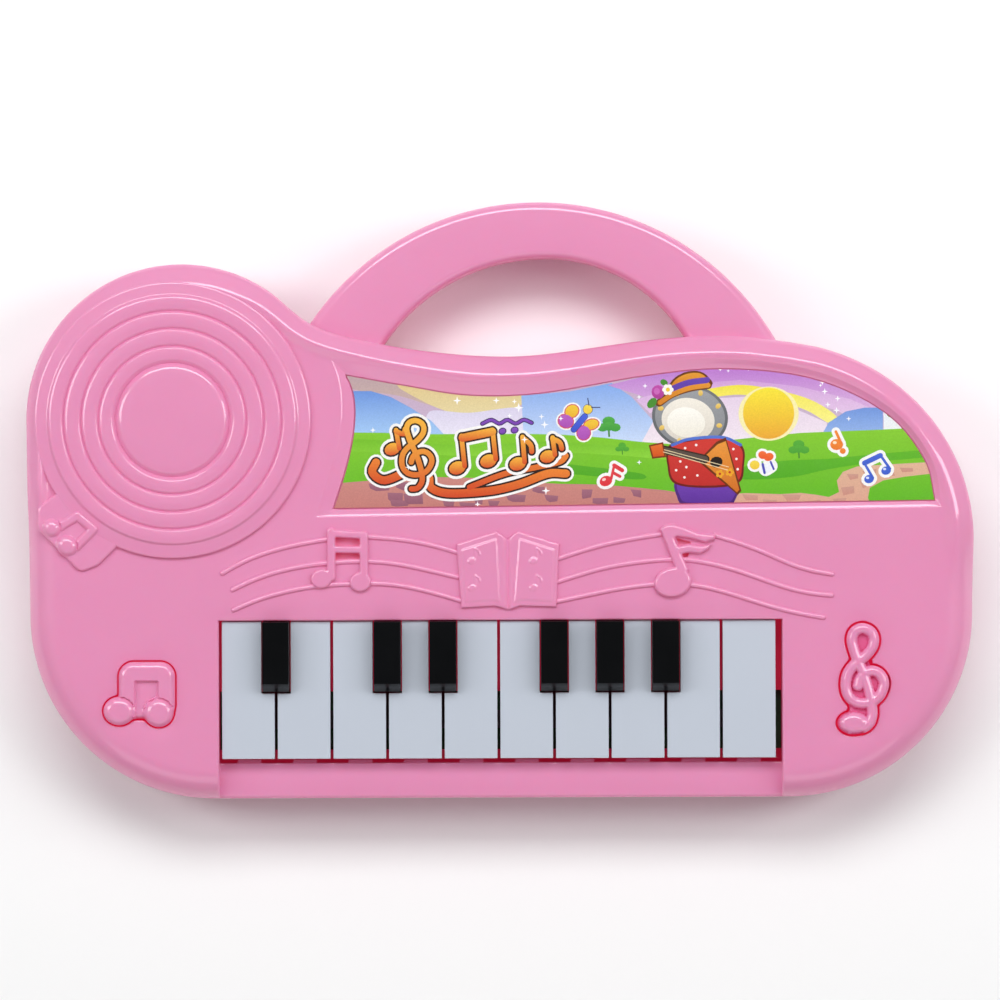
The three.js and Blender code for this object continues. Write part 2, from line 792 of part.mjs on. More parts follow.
// A cell along X, its nipple towards `direction`
function cell(y, direction) {
  const middle = (BAY.left + BAY.right) / 2;
  const half = CELL_LENGTH / 2;
  const nippleEnd = middle + direction * (half + CELL_NIPPLE.length);
  const nippleRoot = middle + direction * (half - 1);
  return join([
    barAlongX(y, CELL_Z, CELL_RADIUS, middle - half, middle + half, 20),
    barAlongX(
      y,
      CELL_Z,
      CELL_NIPPLE.radius,
      Math.min(nippleEnd, nippleRoot),
      Math.max(nippleEnd, nippleRoot),
      10,
    ),
  ]);
}

// A coil of spring wire along X, standing on a plate at `plateX`
function contactCoil(y, plateX, direction, length) {
  const turns = 3;
  const points = [];
  for (let i = 0; i <= turns * 8; i++) {
    const angle = (i / 8) * Math.PI * 2;
    const radius = 4 - (i / (turns * 8)) * 1.4;
    const x = plateX + direction * (0.4 + (i / (turns * 8)) * (length - 0.4));
    points.push([x, y + radius * Math.cos(angle), CELL_Z + radius * Math.sin(angle)]);
  }
  return wire(points, 0.45, turns * 9);
}

const CONTACT = { halfWidth: 5, thickness: 0.5, low: 6.5, high: 16 };

function contactPlate(x, front, rear) {
  return block([x, front, CONTACT.low], [x + CONTACT.thickness, rear, CONTACT.high]);
}

function contactTail(y) {
  return block([BAY.left - BAY.wall - 1.6, y - 0.9, 13.4], [BAY.left + 0.6, y + 0.9, 14]);
}

function positiveContact() {
  const y = CELL_Y[0];
  const dimple = barAlongX(y, CELL_Z, 3, BAY.left + 0.6, BAY.left + 5.5);
  return join([
    contactPlate(BAY.left + GAP, y - CONTACT.halfWidth, y + CONTACT.halfWidth),
    dimple,
    contactTail(y),
  ]);
}

function negativeContact() {
  const y = CELL_Y[1];
  return join([
    contactPlate(BAY.left + GAP, y - CONTACT.halfWidth, y + CONTACT.halfWidth),
    contactCoil(y, BAY.left + GAP, 1, 6.2),
    contactTail(y),
  ]);
}

function linkContact() {
  const x = BAY.right - GAP - CONTACT.thickness;
  const dimple = barAlongX(CELL_Y[1], CELL_Z, 3, BAY.right - 5.5, BAY.right - 0.6);
  return join([
    contactPlate(x, CELL_Y[0] - CONTACT.halfWidth, CELL_Y[1] + CONTACT.halfWidth),
    contactCoil(CELL_Y[0], BAY.right - GAP, -1, 6.2),
    dimple,
  ]);
}

// ---------------------------------------------------------------- speaker and switch

function speakerFrame() {
  const r = SPEAKER.radius;
  return turned(
    [
      [0, 12.2],
      [11.4, 12.2],
      [22.4, 5],
      [22.4, 4],
      [r, 4],
      [r, 5.2],
      [23.4, 5.2],
      [12.2, 13.4],
      [0, 13.4],
    ],
    SPEAKER.x,
    SPEAKER.y,
  );
}

function speakerCone() {
  return turned(
    [
      [0, 6.4],
      [3.6, 7],
      [6.2, 8.6],
      [19.6, 4.3],
      [22, 4.3],
      [22, 4.8],
      [19.8, 4.9],
      [6.2, 9.4],
      [3.4, 7.7],
      [0, 7.1],
    ],
    SPEAKER.x,
    SPEAKER.y,
  );
}

function speakerMagnet() {
  return turned(
    [
      [0, 13.7],
      [12.5, 13.7],
      [12.5, 18.6],
      [10.5, 19.4],
      [0, 19.4],
    ],
    SPEAKER.x,
    SPEAKER.y,
  );
}

function switchBody() {
  const bottom = FLOOR_Z + GAP;
  const { x, y, halfLength, halfWidth, height } = SWITCH;
  const can = block(
    [x - halfLength, y - halfWidth, bottom],
    [x + halfLength, y + halfWidth, bottom + height],
  );
  const track = block(
    [x - halfLength + 1.8, y - halfWidth + 1.1, bottom - 1],
    [x + halfLength - 1.8, y + halfWidth - 1.1, bottom + height - 1.6],
  );
  return can.subtract(track);
}

function switchSlider() {
  const left = SWITCH.x - SWITCH.travel;
  const right = left + SWITCH.knobLength;
  const bottom = FLOOR_Z + GAP;
  const knob = block(
    [left, SWITCH.y - 1.8, BACK_Z + 0.2],
    [right, SWITCH.y + 1.8, bottom + 1],
  );
  const runner = block(
    [left - 1.4, SWITCH.y - 2.1, bottom + 0.5],
    [right + 1.4, SWITCH.y + 2.1, bottom + 3],
  );
  const grips = [0.8, 1.8, 2.8].map((x) =>
    block([left + x, SWITCH.y - 2, BACK_Z - 1], [left + x + 0.4, SWITCH.y + 2, BACK_Z + 0.5]),
  );
  return cut(join([knob, runner]), grips);
}

// ---------------------------------------------------------------- keys and contacts

function whiteX(key) {
  return KEYS_X + (key - (WHITE_COUNT - 1) / 2) * KEY_PITCH;
}

function blackX(whiteKeysBefore) {
  return KEYS_X + (whiteKeysBefore - WHITE_COUNT / 2) * KEY_PITCH;
}

// A key's side profile in the plane of Y and Z, made `width` wide about x = 0
function keyFromProfile(points, width) {
  const geometry = new THREE.ExtrudeGeometry(polygon(points), {
    depth: width,
    bevelEnabled: false,
  });
  geometry.translate(0, 0, -width / 2);
  // shape x -> world y, shape y -> world z, depth -> world x
  geometry.applyMatrix4(new THREE.Matrix4().set(0, 0, 1, 0, 1, 0, 0, 0, 0, 1, 0, 0, 0, 0, 0, 1));
  return toSolid(geometry);
}

function moved(solid, x) {
  return solid.translate([x, 0, 0]);
}

function tailProfile(frontY) {
  return [
    [PIVOT.y, KEY_TAIL_TOP_Z],
    [frontY, KEY_TAIL_TOP_Z],
    [frontY, KEY_UNDERSIDE_Z],
    [PIVOT.y, PIVOT.z - 1.4],
  ];
}

function whiteKey(key) {
  const width = KEY_PITCH - KEY_GAP;
  const blackOnLeft = BLACK_AFTER.includes(key);
  const blackOnRight = BLACK_AFTER.includes(key + 1);
  const left = -(blackOnLeft ? KEY_PITCH / 2 - NOTCH_HALF_WIDTH : width / 2);
  const right = blackOnRight ? KEY_PITCH / 2 - NOTCH_HALF_WIDTH : width / 2;
  const notchY = BLACK_FRONT_Y - 0.5;
  const cap = block([-width / 2, WHITE_FRONT_Y, KEY_UNDERSIDE_Z], [width / 2, notchY, WHITE_TOP_Z]);
  const neck = block([left, notchY - 1, KEY_UNDERSIDE_Z], [right, KEY_REAR_Y, WHITE_TOP_Z]);
  const tailSide = keyFromProfile(tailProfile(KEY_REAR_Y - 1).reverse(), right - left);
  const tail = moved(tailSide, (left + right) / 2);
  const knuckle = barAlongX(PIVOT.y, PIVOT.z, KNUCKLE_RADIUS, left, right);
  const hollows = [
    block(
      [-width / 2 + KEY_WALL, WHITE_FRONT_Y + KEY_WALL, KEY_UNDERSIDE_Z - 1],
      [width / 2 - KEY_WALL, notchY - KEY_WALL, WHITE_TOP_Z - 1.8],
    ),
    block(
      [left + KEY_WALL, notchY - KEY_WALL - 1, KEY_UNDERSIDE_Z - 1],
      [right - KEY_WALL, KEY_REAR_Y - KEY_WALL, WHITE_TOP_Z - 1.8],
    ),
  ];
  const shell = cut(join([cap, neck, tail, knuckle]), hollows);
  const plunger = post(0, WHITE_CONTACT_Y, PLUNGER_RADIUS, WHITE_PLUNGER_Z, WHITE_TOP_Z - 1, 8);
  const bore = barAlongX(PIVOT.y, PIVOT.z, PIVOT.radius + GAP, left - 1, right + 1, 8);
  return moved(cut(join([shell, plunger]), [bore]), whiteX(key));
}

function blackKey(whiteKeysBefore) {
  const half = BLACK_WIDTH / 2;
  const body = keyFromProfile(
    [
      [KEY_REAR_Y, KEY_UNDERSIDE_Z],
      [KEY_REAR_Y, BLACK_TOP_Z],
      [BLACK_FRONT_Y + 2.1, BLACK_TOP_Z],
      [BLACK_FRONT_Y, BLACK_TOP_Z - 3.5],
      [BLACK_FRONT_Y, KEY_UNDERSIDE_Z],
    ],
    BLACK_WIDTH,
  );
  const tail = keyFromProfile(tailProfile(KEY_REAR_Y - 1).reverse(), BLACK_WIDTH);
  const knuckle = barAlongX(PIVOT.y, PIVOT.z, KNUCKLE_RADIUS, -half, half);
  const hollow = block(
    [-half + KEY_WALL, BLACK_FRONT_Y + KEY_WALL, KEY_UNDERSIDE_Z - 1],
    [half - KEY_WALL, KEY_REAR_Y - KEY_WALL, BLACK_TOP_Z - 4],
  );
  const plunger = post(0, BLACK_CONTACT_Y, PLUNGER_RADIUS, BLACK_PLUNGER_Z, BLACK_TOP_Z - 3, 8);
  const bore = barAlongX(PIVOT.y, PIVOT.z, PIVOT.radius + GAP, -half - 1, half + 1, 8);
  const solid = join([cut(join([body, tail, knuckle]), [hollow]), plunger]);
  return moved(cut(solid, [bore]), blackX(whiteKeysBefore));
}

function pivotRod() {
  return barAlongX(PIVOT.y, PIVOT.z, PIVOT.radius, -FRAME_PLATE.halfLength, FRAME_PLATE.halfLength, 10);
}

// Plate under the keys with a bracket at each end for the pivot rod
function keyFrame() {
  const plate = FRAME_PLATE;
  const half = plate.halfLength;
  const base = block([-half, plate.frontY, plate.bottomZ], [half, plate.rearY, plate.topZ]);
  const rearWall = block([-half, plate.rearY - 1.4, plate.bottomZ], [half, plate.rearY, 21]);
  const brackets = [-1, 1].map((side) => {
    const outer = side * half;
    const inner = side * (half - 1.2);
    return block(
      [Math.min(outer, inner), PIVOT.y - 4, plate.bottomZ],
      [Math.max(outer, inner), plate.rearY, 22.4],
    );
  });
  const holes = BLACK_AFTER.map((key) => {
    const x = blackX(key);
    return block([x - 3, BLACK_CONTACT_Y - 2.9, plate.bottomZ - 1], [x + 3, BLACK_CONTACT_Y + 3, 18]);
  });
  const rodHole = barAlongX(PIVOT.y, PIVOT.z, PIVOT.radius + GAP, -half - 1, half + 1, 8);
  return cut(join([base, rearWall, ...brackets]), [...holes, rodHole]);
}

function contactDome(x, y, top) {
  return turned(
    [
      [0, RUBBER_BASE_Z],
      [2.4, RUBBER_BASE_Z],
      [1.7, top],
      [0, top],
    ],
    x,
    y,
    8,
  );
}

// One mat of rubber with a dome under every key's plunger
function contactRubber() {
  const half = WINDOW_HALF_WIDTH - 1.8;
  const matTop = RUBBER_BASE_Z + RUBBER_BASE_THICKNESS;
  const strip = block([-half, WHITE_CONTACT_Y - 2.4, RUBBER_BASE_Z], [half, WHITE_CONTACT_Y + 2.4, matTop]);
  const whites = WHITE_KEYS.map((key) =>
    contactDome(whiteX(key), WHITE_CONTACT_Y, WHITE_PLUNGER_Z - GAP),
  );
  const blacks = BLACK_AFTER.flatMap((key) => [
    contactDome(blackX(key), BLACK_CONTACT_Y, BLACK_PLUNGER_Z - GAP),
    block(
      [blackX(key) - 2, WHITE_CONTACT_Y, RUBBER_BASE_Z],
      [blackX(key) + 2, BLACK_CONTACT_Y, matTop],
    ),
  ]);
  return join([strip, ...whites, ...blacks]);
}

function circuitBoard() {
  const board = block(
    [-BOARD.halfLength, BOARD.frontY, BOARD.bottomZ],
    [BOARD.halfLength, BOARD.rearY, BOARD.topZ],
  );
  return cut(
    board,
    BOARD_SCREWS.map(({ x, y }) => post(x, y, 1.4, 10, 16, 8)),
  );
}

// The bonded chip under its blob of epoxy, on the underside of the board
function chipBlob() {
  return turned(
    [
      [0, BOARD.bottomZ - 2.6],
      [3.4, BOARD.bottomZ - 2.2],
      [6, BOARD.bottomZ - 1],
      [6.6, BOARD.bottomZ - GAP],
      [0, BOARD.bottomZ - GAP],
    ],
    14,
    -55,
    14,
  );
}

// ---------------------------------------------------------------- push buttons

function buttonFoot(flange, stem) {
  const flangeTop = CEILING_Z - GAP;
  return [
    slab(flange, flangeTop - BUTTON_FLANGE_THICKNESS, flangeTop, 4),
    post(stem.x, stem.y, 2.2, BUTTON_STEM_Z, flangeTop - 0.5, 8),
  ];
}

function noteButton() {
  const flange = roundedRectangle(-105.3, -83, -60.6, -39.6, 4.5);
  const figure = noteButtonSolids(CEILING_Z - 1, BUTTON_TOP_Z, 0);
  const sunk = block([-96.5, -53.2, BUTTON_TOP_Z - 1.1], [-90, -47.3, BUTTON_TOP_Z + 1]);
  const between = block([-95.8, -60, BUTTON_TOP_Z - 1.1], [-94.3, -53, BUTTON_TOP_Z + 1]);
  return cut(join([figure, ...buttonFoot(flange, NOTE_STEM)]), [sunk, between]);
}

function clefButton() {
  const flange = roundedRectangle(88.2, 101.8, -62.6, -31.8, 4.5);
  const figure = clefButtonSolids(CEILING_Z - 1, BUTTON_TOP_Z - 0.9, 0);
  const strand = wire(
    [
      [92.4, -58.8, BUTTON_TOP_Z - 0.9],
      [97.2, -59, BUTTON_TOP_Z - 0.9],
      [97.6, -52, BUTTON_TOP_Z - 0.9],
      [94.6, -42, BUTTON_TOP_Z - 0.9],
      [92.2, -37.6, BUTTON_TOP_Z - 0.9],
      [95.2, -34.2, BUTTON_TOP_Z - 0.9],
      [97.6, -37.4, BUTTON_TOP_Z - 0.9],
      [91.4, -47, BUTTON_TOP_Z - 0.9],
      [92, -52.6, BUTTON_TOP_Z - 0.9],
      [97.4, -54, BUTTON_TOP_Z - 0.9],
      [99.9, -50, BUTTON_TOP_Z - 0.9],
      [96.4, -46.4, BUTTON_TOP_Z - 0.9],
    ],
    0.85,
    30,
  );
  return join([figure, strand, ...buttonFoot(flange, CLEF_STEM)]);
}

// ---------------------------------------------------------------- leads

const LEAD_RADIUS = 0.7;
const BOARD_SOLDER_Z = BOARD.bottomZ - GAP;

const LEADS = {
  lead_battery_positive: {
    material: RED_WIRE,
    route: [
      [-4.2, 0.2, 13.7],
      [-8, -6, 9],
      [-10, -20, 6.5],
      [-12, -38, 6.5],
      [-14, -46, 9],
      [-14, -48, BOARD_SOLDER_Z],
    ],
  },
  lead_battery_negative: {
    material: BLACK_WIRE,
    route: [
      [-4.2, 15.8, 13.7],
      [-10, 14, 12.5],
      [-16, 9, 11.5],
      [-19, 5, 10],
    ],
  },
  lead_switch: {
    material: BLACK_WIRE,
    route: [
      [-29, 5, 10],
      [-34, 0, 11],
      [-36, -14, 7],
      [-28, -36, 6.5],
      [-24, -46, 9],
      [-24, -48, BOARD_SOLDER_Z],
    ],
  },
  lead_speaker_red: {
    material: RED_WIRE,
    route: [
      [-67.6, 8.5, 8.4],
      [-64, -2, 9],
      [-60, -20, 6.5],
      [-56, -38, 6.5],
      [-55, -46, 9],
      [-55, -48, BOARD_SOLDER_Z],
    ],
  },
  lead_speaker_black: {
    material: BLACK_WIRE,
    route: [
      [-72, 2.6, 8.4],
      [-68, -4, 9],
      [-64, -20, 6.5],
      [-61, -38, 6.5],
      [-60, -46, 9],
      [-60, -48, BOARD_SOLDER_Z],
    ],
  },
};

// ---------------------------------------------------------------- assembly

const keyboard = new THREE.Group();

function add(name, solid, material) {
  keyboard.add(pieceFrom(solid, name, material));
}

add("top_shell", topShell(), PINK);
add("bottom_shell", bottomShell(), PINK);
add("display_sticker", displaySticker(), PAPER);

for (const key of WHITE_KEYS) {
  add(`white_key_${key + 1}`, whiteKey(key), WHITE);
}
BLACK_AFTER.forEach((whiteKeysBefore, i) => {
  add(`black_key_${i + 1}`, blackKey(whiteKeysBefore), BLACK);
});
add("pivot_rod", pivotRod(), STEEL);
add("key_frame", keyFrame(), DEEP_PINK);
add("contact_rubber", contactRubber(), GREY_RUBBER);
add("circuit_board", circuitBoard(), GREEN_BOARD);
add("chip_blob", chipBlob(), EPOXY);
BOARD_SCREWS.forEach(({ x, y }, i) => {
  add(`board_screw_${i + 1}`, boardScrew(x, y), STEEL);
});

add("note_button", noteButton(), PINK);
add("note_button_dome", contactDome(NOTE_STEM.x, NOTE_STEM.y, BUTTON_STEM_Z - GAP), GREY_RUBBER);
add("clef_button", clefButton(), PINK);
add("clef_button_dome", contactDome(CLEF_STEM.x, CLEF_STEM.y, BUTTON_STEM_Z - GAP), GREY_RUBBER);

add("speaker_frame", speakerFrame(), DARK_STEEL);
add("speaker_cone", speakerCone(), CONE_PAPER);
add("speaker_magnet", speakerMagnet(), DARK_STEEL);
add("switch_body", switchBody(), STEEL);
add("switch_slider", switchSlider(), BLACK);

add("battery_cover", batteryCover(), PINK);
add("battery_cover_screw", batteryCoverScrew(), STEEL);
add("battery_1", cell(CELL_Y[0], -1), CELL_SLEEVE);
add("battery_2", cell(CELL_Y[1], 1), CELL_SLEEVE);
add("battery_contact_positive", positiveContact(), STEEL);
add("battery_contact_negative", negativeContact(), STEEL);
add("battery_contact_link", linkContact(), STEEL);

CASE_SCREWS.forEach(({ x, y }, i) => {
  add(`case_screw_${i + 1}`, screw(x, y, 3, 6, 7.7, 1.4, 19), STEEL);
});
for (const [name, { material, route }] of Object.entries(LEADS)) {
  add(name, wire(route, LEAD_RADIUS, 14, 6), material);
}

export default keyboard;
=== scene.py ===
"""Looks of the toy electronic keyboard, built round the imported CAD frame.

Shapes are worked out in millimetres in the frame's own axes, and each mesh is scaled to metres when made.
X runs along the keys, the player sits at -Y, and the face looks up.
"""

import json
import math
import random

import bmesh
import bpy
import numpy as np
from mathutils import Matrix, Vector
from mathutils.geometry import delaunay_2d_cdt


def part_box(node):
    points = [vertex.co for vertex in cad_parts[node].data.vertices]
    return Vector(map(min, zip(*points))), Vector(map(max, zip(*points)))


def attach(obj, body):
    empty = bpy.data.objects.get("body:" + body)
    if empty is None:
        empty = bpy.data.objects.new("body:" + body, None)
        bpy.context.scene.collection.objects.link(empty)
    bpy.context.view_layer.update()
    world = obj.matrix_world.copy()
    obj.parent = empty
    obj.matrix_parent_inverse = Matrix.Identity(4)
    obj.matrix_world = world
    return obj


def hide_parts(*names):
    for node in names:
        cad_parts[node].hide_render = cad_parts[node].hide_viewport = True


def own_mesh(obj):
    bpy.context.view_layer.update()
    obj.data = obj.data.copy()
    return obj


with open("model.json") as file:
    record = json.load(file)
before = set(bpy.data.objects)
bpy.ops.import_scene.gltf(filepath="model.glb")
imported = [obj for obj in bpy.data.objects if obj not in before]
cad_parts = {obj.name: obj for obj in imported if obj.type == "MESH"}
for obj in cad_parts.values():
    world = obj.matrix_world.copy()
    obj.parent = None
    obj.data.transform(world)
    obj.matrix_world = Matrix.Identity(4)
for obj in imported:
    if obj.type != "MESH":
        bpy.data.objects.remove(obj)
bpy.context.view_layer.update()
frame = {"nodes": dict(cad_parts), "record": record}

MM = 0.001

# ------------------------------------------------------------------ driving sizes, in mm

FACE_Z = 28.0
CEILING_Z = 25.8  # the face's underside
PARTING_TOP = 13.15  # the upper shell's lower edge
WALL = 2.2
EDGE_ROUND = 8.0
FRONT_Y = -78.6
RAIL_Z = 22.0  # top of the rail in front of the keys
RAIL_REAR = -69.3
WINDOW_REAR = -31.6
CHEEK_X = 74.2  # the cheeks stand at both ends of the window
CHEEK_FILLET = 0.6
CHEEK_WALL = 1.8
SKIRT_Z = 16.6  # lower edge of the walls round the window

# Arcs of the border: x, y and radius
LOBE = (-83.9, 21.5, 40.9)
LEFT_CORNER = (-75.7, -30.1, 48.5)
RIGHT_CORNER = (76.2, -30.1, 48.5)
RIGHT_SIDE = (73.2, -10.9, 51.7)
SHOULDER = (69.7, -16.6, 58.4)
WAIST = (2, 37.8)  # lowest point of the rear edge
LOBE_END, SHOULDER_END = (-51.67, 46.68), (75.8, 41.48)  # where the waist's curve starts and ends

STICKER_TOP = 27.2
RECESS_FLOOR = 26.6

# ------------------------------------------------------------------ plane geometry


def smoothstep(low, high, value):
    t = np.clip((value - low) / (high - low), 0, 1)
    return t * t * (3 - 2 * t)


def arc(centre_radius, start, end, spacing=0.6):
    x, y, radius = centre_radius
    count = max(2, math.ceil(abs(math.radians(end - start)) * radius / spacing))
    angle = np.radians(np.linspace(start, end, count + 1))
    return np.stack([x + radius * np.cos(angle), y + radius * np.sin(angle)], 1)


def circle(x, y, radius, sides):
    angle = np.linspace(0, 2 * math.pi, sides, endpoint=False)
    return np.stack([x + radius * np.cos(angle), y + radius * np.sin(angle)], 1)


def bezier(p0, p1, p2, p3):
    t = np.linspace(0, 1, 91)[:, None]
    p0, p1, p2, p3 = (np.array(p, float) for p in (p0, p1, p2, p3))
    return (1 - t) ** 3 * p0 + 3 * (1 - t) ** 2 * t * p1 + 3 * (1 - t) * t * t * p2 + t**3 * p3


def spline(points, closed=False, per_span=12):
    """A Catmull-Rom curve through the points."""
    p = np.asarray(points, float)
    if closed:
        p = np.vstack([p[-1], p, p[0], p[1]])
    else:
        p = np.vstack([2 * p[0] - p[1], p, 2 * p[-1] - p[-2]])
    t = np.linspace(0, 1, per_span, endpoint=False)[:, None]
    made = []
    for a, b, c, d in zip(p, p[1:], p[2:], p[3:]):
        square, cube = 2 * a - 5 * b + 4 * c - d, 3 * b - a - 3 * c + d
        made.append(0.5 * (2 * b + (c - a) * t + square * t**2 + cube * t**3))
    if not closed:
        made.append(p[-2:-1])
    return np.vstack(made)


def resampled(points, spacing, closed=False):
    points = np.asarray(points, float)
    if closed:
        points = np.vstack([points, points[:1]])
    steps = np.linalg.norm(np.diff(points, axis=0), axis=1)
    points = points[np.concatenate([[True], steps > 1e-9])]
    along = np.concatenate([[0], np.cumsum(steps[steps > 1e-9])])
    count = max(3, round(along[-1] / spacing))
    wanted = np.linspace(0, along[-1], count + 1)
    made = np.stack([np.interp(wanted, along, points[:, k]) for k in (0, 1)], 1)
    return made[:-1] if closed else made


def inward(points, closed=True):
    """Unit vectors to the left of the way a line runs: inwards on a line that runs anticlockwise."""
    if closed:
        before, after = np.roll(points, 1, 0), np.roll(points, -1, 0)
    else:
        before = np.vstack([points[:1], points[:-1]])
        after = np.vstack([points[1:], points[-1:]])
    way = after - before
    way /= np.linalg.norm(way, axis=1)[:, None]
    return np.stack([-way[:, 1], way[:, 0]], 1)


def distance_to(points, line, closed=True):
    """Distance of each point from a line, and the index of the nearest stretch of it."""
    line = np.asarray(line, float)
    start = line if closed else line[:-1]
    end = np.roll(line, -1, 0) if closed else line[1:]
    run = end - start
    length2 = np.maximum((run**2).sum(1), 1e-12)
    far, nearest = [], []
    for chunk in np.array_split(np.asarray(points, float), max(1, len(points) // 1500)):
        to = chunk[:, None] - start[None]
        t = np.clip((to * run).sum(2) / length2, 0, 1)
        gap = np.linalg.norm(to - t[..., None] * run, axis=2)
        nearest.append(gap.argmin(1))
        far.append(gap.min(1))
    return np.concatenate(far), np.concatenate(nearest)


def inside(points, *loops):
    """True where a point is inside an odd number of the loops."""
    points = np.asarray(points, float)
    odd = np.zeros(len(points), bool)
    for loop in loops:
        x0, y0 = loop[:, 0], loop[:, 1]
        x1, y1 = np.roll(x0, -1), np.roll(y0, -1)
        for chunk in np.array_split(np.arange(len(points)), max(1, len(points) // 4000)):
            px, py = points[chunk, 0][:, None], points[chunk, 1][:, None]
            crosses = (y0 > py) != (y1 > py)
            with np.errstate(divide="ignore", invalid="ignore"):
                at = (x1 - x0) * (py - y0) / (y1 - y0) + x0
            odd[chunk] ^= (crosses & (px < at)).sum(1) % 2 == 1
    return odd


def loop_edges(loops):
    """The edges of closed loops whose points are numbered one loop after the other."""
    edges, first = [], 0
    for loop in loops:
        n = len(loop)
        edges += [(first + i, first + (i + 1) % n) for i in range(n)]
        first += n
    return edges


def triangulated(loops, extra=()):
    """Triangles of the region between closed loops, over the loops' points followed by the extra ones."""
    points = np.vstack([*loops, np.asarray(extra, float).reshape(-1, 2)])
    edges = loop_edges(loops)
    verts, _, faces, origin, _, _ = delaunay_2d_cdt([Vector(p) for p in points], edges, [], 0, 1e-6)
    index = np.array([o[0] if o else -1 for o in origin])
    faces = index[np.array(faces)]
    faces = faces[(faces >= 0).all(1)]
    a, b, c = (points[faces[:, k]] for k in range(3))
    faces = faces[inside((a + b + c) / 3, *loops)]
    a, b, c = (points[faces[:, k]] for k in range(3))
    area = (b[:, 0] - a[:, 0]) * (c[:, 1] - a[:, 1]) - (b[:, 1] - a[:, 1]) * (c[:, 0] - a[:, 0])
    faces[area < 0] = faces[area < 0][:, ::-1]
    return points, faces[np.abs(area) > 1e-9]


def open_edges(faces):
    """The edges that only one face has, as pairs that run the way the face does."""
    edges = {(f[k - 1], f[k]) for f in faces.tolist() for k in range(len(f))}
    return [edge for edge in sorted(edges) if edge[::-1] not in edges]


def grid_inside(loop, spacing, margin, *holes):
    """Points of a square grid inside a loop and outside the holes, a margin away from every line."""
    low, high = loop.min(0), loop.max(0)
    x, y = np.meshgrid(np.arange(low[0], high[0], spacing), np.arange(low[1], high[1], spacing))
    y = y + (np.arange(x.shape[1]) % 2)[None] * spacing / 2
    points = np.stack([x.ravel(), y.ravel()], 1)
    points = points[inside(points, loop, *holes)]
    for line in (loop, *holes):
        if len(points):
            points = points[distance_to(points, line)[0] > margin]
    return points


def contour(field, guess, level=0.0):
    """The line where field(points) equals level, found from a rough closed line near it."""
    spacing = 0.4
    line = resampled(guess, spacing, closed=True)
    for _ in range(3):
        for _ in range(4):
            line = stepped(field, line, level)
        line = resampled(line, spacing, closed=True)
    return stepped(field, stepped(field, line, level), level)


def stepped(field, line, level):
    """The points moved along the field's slope to where it equals level."""
    h = 0.02
    value = field(line)
    gx = (field(line + (h, 0)) - field(line - (h, 0))) / (2 * h)
    gy = (field(line + (0, h)) - field(line - (0, h))) / (2 * h)
    slope = np.stack([gx, gy], 1)
    step = (level - value) / np.maximum((slope**2).sum(1), 0.25)
    return line + slope * np.clip(step, -0.5, 0.5)[:, None]


# Signed distance fields, negative inside


def ellipse_field(points, x, y, radius_x, radius_y, turn=0.0):
    c, s = math.cos(math.radians(turn)), math.sin(math.radians(turn))
    dx, dy = points[:, 0] - x, points[:, 1] - y
    u, v = dx * c + dy * s, -dx * s + dy * c
    k = np.sqrt((u / radius_x) ** 2 + (v / radius_y) ** 2)
    k2 = np.sqrt((u / radius_x**2) ** 2 + (v / radius_y**2) ** 2)
    return k * (k - 1) / np.maximum(k2, 1e-6)


def box_field(points, left, right, front, rear, radius):
    centre = np.array([(left + right) / 2, (front + rear) / 2])
    half = np.array([(right - left) / 2, (rear - front) / 2]) - radius
    q = np.abs(points - centre) - half
    return np.linalg.norm(np.maximum(q, 0), axis=1) + np.minimum(q.max(1), 0) - radius


def line_field(points, line, radius):
    return distance_to(points, line, closed=False)[0] - radius


def area_field(points, loop):
    far = distance_to(points, loop)[0]
    return np.where(inside(points, loop), -far, far)


def union(*fields, soft=0.0):
    made = fields[0]
    for other in fields[1:]:
        if soft:
            h = np.clip(0.5 + 0.5 * (other - made) / soft, 0, 1)
            made = other * (1 - h) + made * h - soft * h * (1 - h)
        else:
            made = np.minimum(made, other)
    return made


def rounded(depth, radius):
    """How far a quarter-round edge lies below its top, at this distance in from the edge."""
    t = np.clip(1 - depth / radius, 0, 1)
    return radius * (1 - np.sqrt(1 - t * t))


# ------------------------------------------------------------------ meshes


